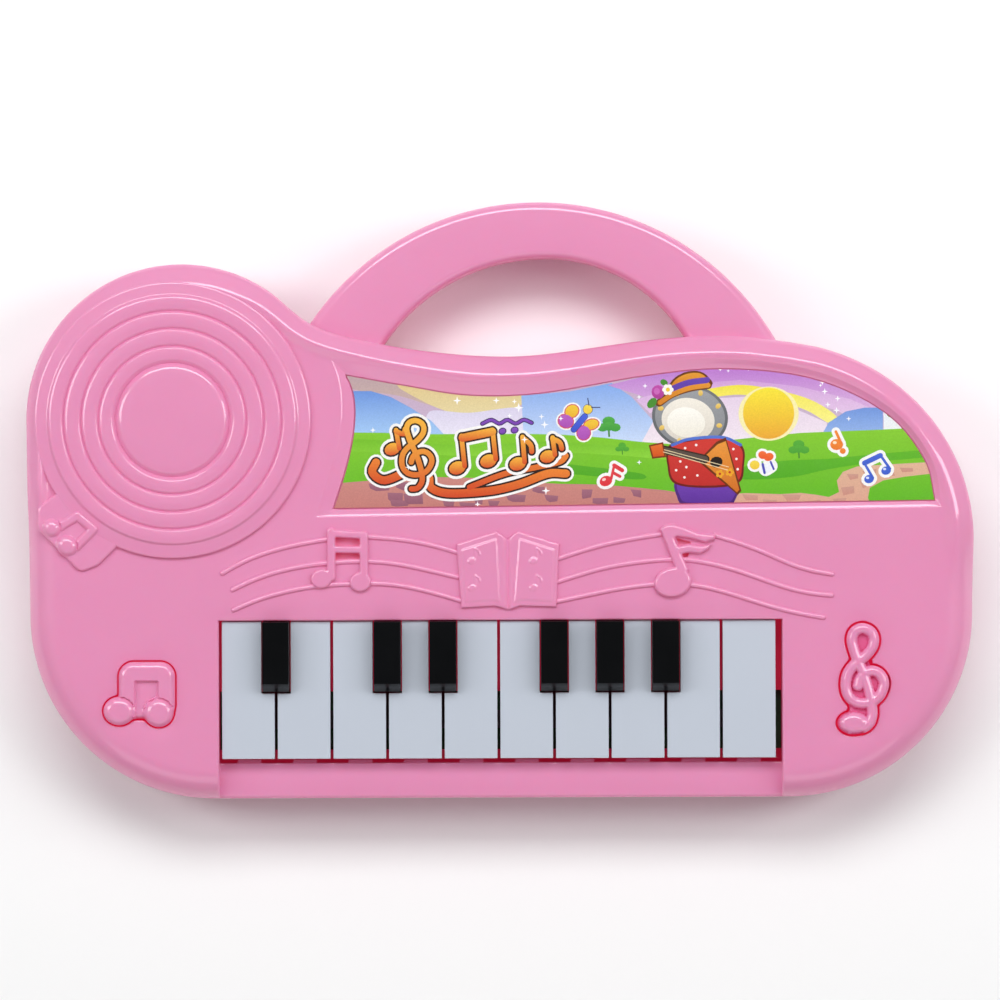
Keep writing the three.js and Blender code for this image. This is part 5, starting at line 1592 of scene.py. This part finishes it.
# small garden insect
figure(
    [(0.66, HALO)],
    (disc, "e85828 f07038", 70.8, 11.1, 1.32, 1.06, -20),
    (disc, "e85828 f07038", 69.2, 11.6, 1.19, 1.06, 20),
    (bar, "e8eaf4 f4f4fa", 1.19, (70, 7.9), (71.3, 8.7)),
    (disc, "ecc43c f4d850", 67.1, 9, 1.32, 1.22),
)
bar("4c4cb4", 0.32, (69.2, 9.2), (69.7, 6.9))
bar("4c4cb4", 0.26, (71.3, 9.8), (72.1, 7.9))
# tambourine, hat and flowers
disc("5a5c60 74767a", 50.1, 21.7, 10.04, 8.32, 8)
disc("84868a 9c9ea2", 50.1, 21.7, 9.25, 7.66, 8)
disc("d8d0c4 f2ece0", 49.6, 20.9, 7, 5.81, 8)
disc("ece6d8 fbf8f0", 49.1, 20.3, 5.02, 3.96, 8)
for turn in range(0, 360, 45):
    a = math.radians(turn + 20)
    disc("d8b04c f0d078", 50.1 + 8.2 * math.cos(a), 21.7 - 6.7 * math.sin(a), 0.79, 0.63, turn)
ribbon("6a3a14", 0.99, (42, 25.4), (45.4, 27.7), (50.1, 29.3), (54.9, 30))
blob("6a3a14", (44.5, 28), (45.5, 31.4), (48.6, 33.4), (52.3, 33.8), (55, 32.2), (55.4, 29.6))
blob(
    "c8701c e09a34", (45, 28.5), (46, 31.2), (48.8, 32.9), (52.3, 33.3), (54.5, 32), (54.9, 29.9),
    (50.1, 29.6),
)
ribbon("5a3a9c 6848b0", 0.79, (45.4, 29.1), (49.6, 30.7), (54.6, 31.4))
ribbon("d07c20 e09434", 0.63, (42.2, 25.5), (45.7, 27.7), (50.1, 29.3), (54.9, 30))
disc("488c30", 40.1, 25.4, 1.59, 1.06, -50)
disc("488c30", 43.3, 30.8, 1.06, 0.79, 30)
disc("a83890 c050a8", 41.7, 28.3, 1.72, 1.85)
disc("c868b8", 41.4, 28.5, 0.79, 0.9)
flower("f8f4ec", "e8c030", 44.3, 28.9, 6, spread=0.92, petal=0.61, heart=0.55)
# drum with dotted shell and purple hoops
blob(
    "4a2470 5a2c84", (46.4, 4.8), (54.9, 3.7), (62.8, 4.2), (62, 0), (60.2, -1.2), (48.6, -1.2),
    (46.7, 0.5),
)
blob(
    "5c3096 7040ac", (47.1, 4.5), (54.9, 3.3), (62.2, 4), (61.4, 0.3), (59.4, -0.8), (49.4, -0.8),
    (47.4, 0.8),
)
blob(
    "6c1c18", (44.3, 14), (50.1, 15.9), (58.6, 16.4), (63.9, 14), (64.3, 9), (62.8, 4.2), (54.4, 3),
    (45.9, 4.2), (44.1, 9),
)
blob(
    "bc2c28 d03c34", (44.9, 13.6), (50.4, 15.3), (58.3, 15.9), (63.4, 13.6), (63.8, 9), (62.3, 4.6),
    (54.4, 3.6), (46.4, 4.6), (44.6, 9),
)
for x, y in (
    *((46.4, 12.2), (48.8, 13.5), (51.7, 14.3), (47.5, 10), (50.1, 11.1), (46.4, 7.7), (49.1, 8.5)),
    *((52, 6.3), (48.6, 5.8), (61.5, 13.2), (62.3, 10.6), (62.6, 7.9), (61, 5.5), (59.4, 14.8)),
):
    disc("f6e8e4", x, y, 0.34)
ribbon("4a68c0 5878d0", 0.4, (45.4, 14.3), (50.1, 15.9), (58.6, 16.3), (63.4, 14.3))
# balalaika
patch("6c3010", (59.5, 16.3), (63.6, 2.2), (62.6, 1.1), (52.7, 9.6), (53.6, 11.6), (57, 15.1))
patch("cc6c20 e8963c", (59.5, 15.3), (63, 2.5), (62.4, 1.8), (53.4, 9.8), (54.2, 11.5), (57.4, 14.5))
bar("30261e", 1.12, (54.1, 10.6), (42.7, 13.2))
bar("584c44", 0.74, (54.1, 10.6), (42.7, 13.2))
patch("7a3010", (39.2, 14.3), (43, 15.1), (43.8, 11.1), (40.1, 10.7))
patch("d0501c e0702c", (39.7, 14), (42.7, 14.6), (43.3, 11.5), (40.4, 11.2))
disc("20140e", 57, 9.8, 1.69, 1.43, -15)
for x, y in ((57.9, 6.7), (60.5, 7.1)):
    flower("e8a428", "c03820", x, y, 5, spread=0.69, petal=0.45, heart=0.34)
bar("f0dcb0", 0.09, (43.3, 13.1), (60.2, 8.5))
bar("f0dcb0", 0.09, (43.1, 12.5), (59.9, 7.7))
# clef, ribbon and notes in outlined orange; the clef is the button's, smaller and with a shorter tail
BUTTON_CLEF_MIDDLE, PRINTED_CLEF_MIDDLE = (96, -46.3), (-21.74, 12.15)
PRINTED_CLEF_SCALE = (0.8, 0.727)
PRINTED_CLEF = (np.array(CLEF_POINTS) - BUTTON_CLEF_MIDDLE) * PRINTED_CLEF_SCALE + PRINTED_CLEF_MIDDLE
PRINTED_CLEF = [*PRINTED_CLEF.tolist(), (-20.6, 4.7), (-21.7, 3.2), (-23.3, 3)]
figure(
    [(1.06, HALO), (0.45, OUTLINE)],
    (ribbon, RIBBON, 1.06, (-32.6, 10), (-33.6, 7.4), (-30.7, 5.3), (-26, 6.9), (-21.2, 10)),
    (
        ribbon, RIBBON, 1.06, (-18.6, 5.8), (-18, 3.2), (-13.3, 1.8), (-2.7, 2.4), (5.2, 4.2), (12.6, 6.9),
        (17.4, 6.9),
    ),
    (ribbon, RIBBON, 0.73, (-8, 3.4), (1.3, 6.9), (9.2, 8.5), (15.8, 10), (17.4, 11.6)),
)
figure(
    [(1.19, HALO), (0.45, OUTLINE)],
    (disc, ORANGE, -28.3, 13.5, 2.11, 1.59, -20),
    (bar, ORANGE, 0.59, (-26.5, 13.7), (-27.3, 18.5)),
    (ribbon, ORANGE, 0.66, (-27.3, 18.2), (-25.4, 17.4), (-24.9, 18.8)),
    (ribbon, ORANGE, 0.71, *PRINTED_CLEF),
    (disc, ORANGE, -11.2, 8.5, 2.25, 1.72, -20),
    (bar, ORANGE, 0.61, (-9.3, 9), (-10.1, 16.9)),
    (disc, ORANGE, -3, 10.3, 2.25, 1.72, -20),
    (bar, ORANGE, 0.61, (-1.1, 10.8), (-1.9, 18.5)),
    (bar, ORANGE, 1.06, (-9.8, 16.4), (-2, 18)),
    (disc, ORANGE, 4.7, 9.5, 2.25, 1.72, -20),
    (bar, ORANGE, 0.61, (6.5, 10), (6, 16.6)),
    (ribbon, ORANGE, 0.66, (6, 16.4), (8.1, 14.5), (8.4, 12.7)),
    (disc, ORANGE, 12.6, 11.4, 2.11, 1.64, -20),
    (bar, ORANGE, 0.61, (14.5, 11.9), (13.9, 16.4)),
    (ribbon, ORANGE, 0.66, (13.9, 16.1), (15.8, 15.1), (16.3, 13.5)),
)
# small purple marks
figure(
    [(0.26, "38205c")],
    (
        ribbon, PURPLE, 0.34, (-4.6, 20.1), (-2.2, 21.1), (-0.1, 20.1), (2, 21.1), (4.2, 20.1), (6.3, 21.1),
        (8.4, 20.3),
    ),
    (disc, PURPLE, 0.7, 18.1, 0.85, 0.69, -20),
    (disc, PURPLE, 3.9, 18.4, 0.85, 0.69, -20),
)
# sparkles
for x, y, size in (
    *((-33.4, 18.5, 0.8), (-11.2, 26.2, 1.1), (-0.9, 26.2, 0.9), (5, 24.3, 1.3), (2.6, 22.2, 0.7)),
    *((11, 21.9, 0.8), (11.8, 19.8, 1.1), (16.1, 21.4, 0.7), (3.9, 25.9, 0.7), (38.3, 29.9, 0.7)),
    *((36.7, 27, 0.7), (58.1, 34.1, 0.5), (60.2, 33.8, 0.5), (65.5, 34.2, 0.5), (85, 30.7, 0.8)),
    *((85.6, 28.3, 0.9), (84.5, 29.9, 0.5), (89, 26.4, 0.8), (86.4, 24.8, 0.8), (88.7, 23.3, 0.9)),
    *((91.9, 21.1, 0.7), (12.1, 2.4, 1.1), (-5.9, -1.1, 0.8), (36.7, 9.8, 0.7), (-24.1, 8.7, 0.8)),
    (6.5, 15.9, 0.9),
):
    reach = [size, size * 0.3] * 4
    turns = [math.pi * k / 4 for k in range(8)]
    patch("f8f8fc", *[(x + r * math.cos(a), y - r * math.sin(a)) for r, a in zip(reach, turns)])

STICKER_GRAIN = 2.5  # spacing of the grid that carries the slow changes of colour
PAPER = (0.9, 0.9, 0.88)


def drawn(kind, numbers):
    """Outline of one printed shape, and a test of which points it covers."""
    if kind == "disc":
        x, y, radius_x, radius_y, turn = numbers
        t = np.linspace(0, 2 * math.pi, max(12, int(radius_x * 6)), endpoint=False)
        a = math.radians(-turn)
        u, v = radius_x * np.cos(t), radius_y * np.sin(t)
        line = np.stack([x + u * math.cos(a) - v * math.sin(a), y + u * math.sin(a) + v * math.cos(a)], 1)
    elif kind in ("line", "swirl"):
        radius, *way = numbers
        way = resampled(spline(way) if kind == "swirl" else way, 0.7)
        side = inward(way, closed=False) * radius
        start, end = (math.atan2(side[k, 1], side[k, 0]) for k in (0, -1))
        half_round = np.linspace(0, math.pi, 8)[1:-1]
        end_cap = way[-1] + radius * np.stack([np.cos(end - half_round), np.sin(end - half_round)], 1)
        start_turn = start + math.pi - half_round
        start_cap = way[0] + radius * np.stack([np.cos(start_turn), np.sin(start_turn)], 1)
        line = np.vstack([way + side, end_cap, (way - side)[::-1], start_cap])
        return line, lambda points: distance_to(points, way, closed=False)[0] <= radius
    else:
        line = np.array(numbers, float)
        if kind == "curve":
            line = resampled(spline(line, closed=True), 0.9, closed=True)
    return line, lambda points: inside(points, line)


def printed_slab():
    """The sticker as a thin slab whose top faces carry the picture, a colour at each corner."""
    shapes = [(inks, *drawn(kind, numbers)) for inks, kind, numbers in PICTURE]
    loops = [STICKER_LINE, *[line for _, line, _ in shapes]]
    points = np.vstack([*loops, grid_inside(STICKER_LINE, STICKER_GRAIN, 0.5)])
    verts, _, faces, *_ = delaunay_2d_cdt([Vector(p) for p in points], loop_edges(loops), [], 0, 1e-4)
    flat, faces = np.array([tuple(v) for v in verts]), np.array(faces)
    middle = flat[faces].mean(1)
    kept = inside(middle, STICKER_LINE)
    faces, middle = faces[kept], middle[kept]
    corners = np.zeros((len(faces), 3, 3))
    for inks, line, covers in shapes:
        low, high = line.min(0) - 0.01, line.max(0) + 0.01
        near = np.flatnonzero(((middle > low) & (middle < high)).all(1))
        hit = near[covers(middle[near])] if len(near) else near
        up = np.clip((flat[faces[hit]][..., 1] - low[1]) / (high[1] - low[1]), 0, 1)[..., None]
        lower_ink, upper_ink = (np.array(hexed(inks.split()[k])) for k in (0, -1))
        corners[hit] = lower_ink * (1 - up) + upper_ink * up
    a, b, c = (flat[faces[:, k]] for k in range(3))
    turned_over = (b[:, 0] - a[:, 0]) * (c[:, 1] - a[:, 1]) < (b[:, 1] - a[:, 1]) * (c[:, 0] - a[:, 0])
    faces[turned_over] = faces[turned_over][:, ::-1]
    corners[turned_over] = corners[turned_over][:, ::-1]
    used, faces = np.unique(faces, return_inverse=True)
    faces = faces.reshape(-1, 3)
    skin = Skin()
    top = skin.add(flat[used], STICKER_TOP)
    under = skin.add(flat[used], RECESS_FLOOR + 0.1)
    skin.triangles(top, faces)
    skin.triangles(under, faces, flip=True)
    skin.faces += [(top[b], top[a], under[a], under[b]) for a, b in open_edges(faces)]
    mesh = bpy.data.meshes.new("printed_sticker")
    points = [tuple(float(c) * MM for c in p) for p in skin.points]
    mesh.from_pydata(points, [], [tuple(map(int, face)) for face in skin.faces])
    layer = mesh.color_attributes.new("print", "FLOAT_COLOR", "CORNER")
    values = np.ones((len(mesh.loops), 4))
    values[:, :3] = PAPER
    values[: corners.size // 3, :3] = corners.reshape(-1, 3)
    layer.data.foreach_set("color", values.ravel())
    return piece("printed_sticker", mesh, "printed_sticker", replaces=["display_sticker"])


printed_slab()

# ------------------------------------------------------------------ carried-over CAD pieces

EDGE_WIDTHS = {
    "white_key_plastic": 0.45,
    "black_key_plastic": 0.7,
    "pink_plastic": 0.35,
    "black_plastic": 0.2,
}


def finished(node, slot):
    """Gives a CAD node its material and, on moulded pieces, softened edges."""
    shape = frame["nodes"][node]
    shape.data.materials.clear()
    shape.data.materials.append(BY_SLOT[slot])
    width = EDGE_WIDTHS.get(slot)
    if width:
        weld = shape.modifiers.new("weld", "WELD")
        weld.merge_threshold = 2e-6
        flat = shape.modifiers.new("flat", "DECIMATE")
        flat.decimate_type = "DISSOLVE"
        flat.angle_limit = math.radians(1)
        soft = shape.modifiers.new("soft", "BEVEL")
        soft.width = width * MM
        soft.segments = 3
        soft.limit_method = "ANGLE"
        soft.angle_limit = math.radians(40)
        soft.harden_normals = False
        shape.data.shade_smooth()
        even = shape.modifiers.new("even", "WEIGHTED_NORMAL")
        even.keep_sharp = True


for part in frame["record"]["subparts"]:
    if not frame["nodes"][part["node"]].hide_render:
        finished(part["node"], part["material_slot"])

# ------------------------------------------------------------------ floor, light and camera


def floor():
    half, z = 3.0, -0.0001  # z lies just below the feet, so that no faces coincide
    mesh = bpy.data.meshes.new("floor")
    corners = [(-half, -half, z), (half, -half, z), (half, half, z), (-half, half, z)]
    mesh.from_pydata(corners, [], [(0, 1, 2, 3)])
    made = bpy.data.objects.new("floor", mesh)
    bpy.context.scene.collection.objects.link(made)
    n = Nodes("floor")
    n.set(Base_Color=(0.93, 0.93, 0.93, 1), Roughness=0.9, Specular_IOR_Level=0.1)
    mesh.materials.append(n.material)


def area_light(name, place, size, power):
    """A soft light aimed at the middle of the toy."""
    data = bpy.data.lights.new(name, "AREA")
    data.shape = "RECTANGLE"
    data.size, data.size_y = size
    data.energy = power
    made = bpy.data.objects.new(name, data)
    made.location = place
    aim = Vector((0, 0, 0.015)) - Vector(place)
    made.rotation_euler = aim.to_track_quat("-Z", "Y").to_euler()
    bpy.context.scene.collection.objects.link(made)


floor()
area_light("light_rear", (0, 0.62, 0.95), (1.0, 0.36), 7.2)
area_light("light_front", (0, -0.85, 0.8), (1.5, 0.5), 1.4)
area_light("light_left", (-0.75, 0.2, 0.75), (0.3, 0.8), 3.2)
area_light("light_right", (0.75, 0.2, 0.75), (0.3, 0.8), 3.6)

AMBIENT = 0.32


def studio_world():
    """White all round, darker straight above where the camera stands."""
    world = bpy.data.worlds.new("studio")
    bpy.context.scene.world = world
    world.use_nodes = True
    tree = world.node_tree
    way = tree.nodes.new("ShaderNodeTexCoord")
    split = tree.nodes.new("ShaderNodeSeparateXYZ")
    shade = tree.nodes.new("ShaderNodeMapRange")
    shade.inputs["From Min"].default_value = 0.8
    shade.inputs["From Max"].default_value = 0.96
    shade.inputs["To Min"].default_value = AMBIENT
    shade.inputs["To Max"].default_value = AMBIENT * 0.15
    tree.links.new(way.outputs["Generated"], split.inputs["Vector"])
    tree.links.new(split.outputs["Z"], shade.inputs["Value"])
    background = tree.nodes["Background"]
    background.inputs["Color"].default_value = (1, 1, 1, 1)
    tree.links.new(shade.outputs["Result"], background.inputs["Strength"])


studio_world()

VIEW_HEIGHT = 2.0
VIEW_PLANE = 0.02  # height at which the picture is VIEW_WIDTH wide
VIEW_WIDTH = 0.26427
VIEW_TURN = -0.0034  # the photo is turned by a fifth of a degree
SENSOR = 36
camera = bpy.data.objects.new("camera", bpy.data.cameras.new("camera"))
camera.data.sensor_width = SENSOR
camera.data.lens = SENSOR * (VIEW_HEIGHT - VIEW_PLANE) / VIEW_WIDTH
camera.location = (0, 0, VIEW_HEIGHT)
camera.rotation_euler = (0, 0, VIEW_TURN)
bpy.context.scene.collection.objects.link(camera)
bpy.context.scene.camera = camera
bpy.context.scene.view_settings.view_transform = "Standard"
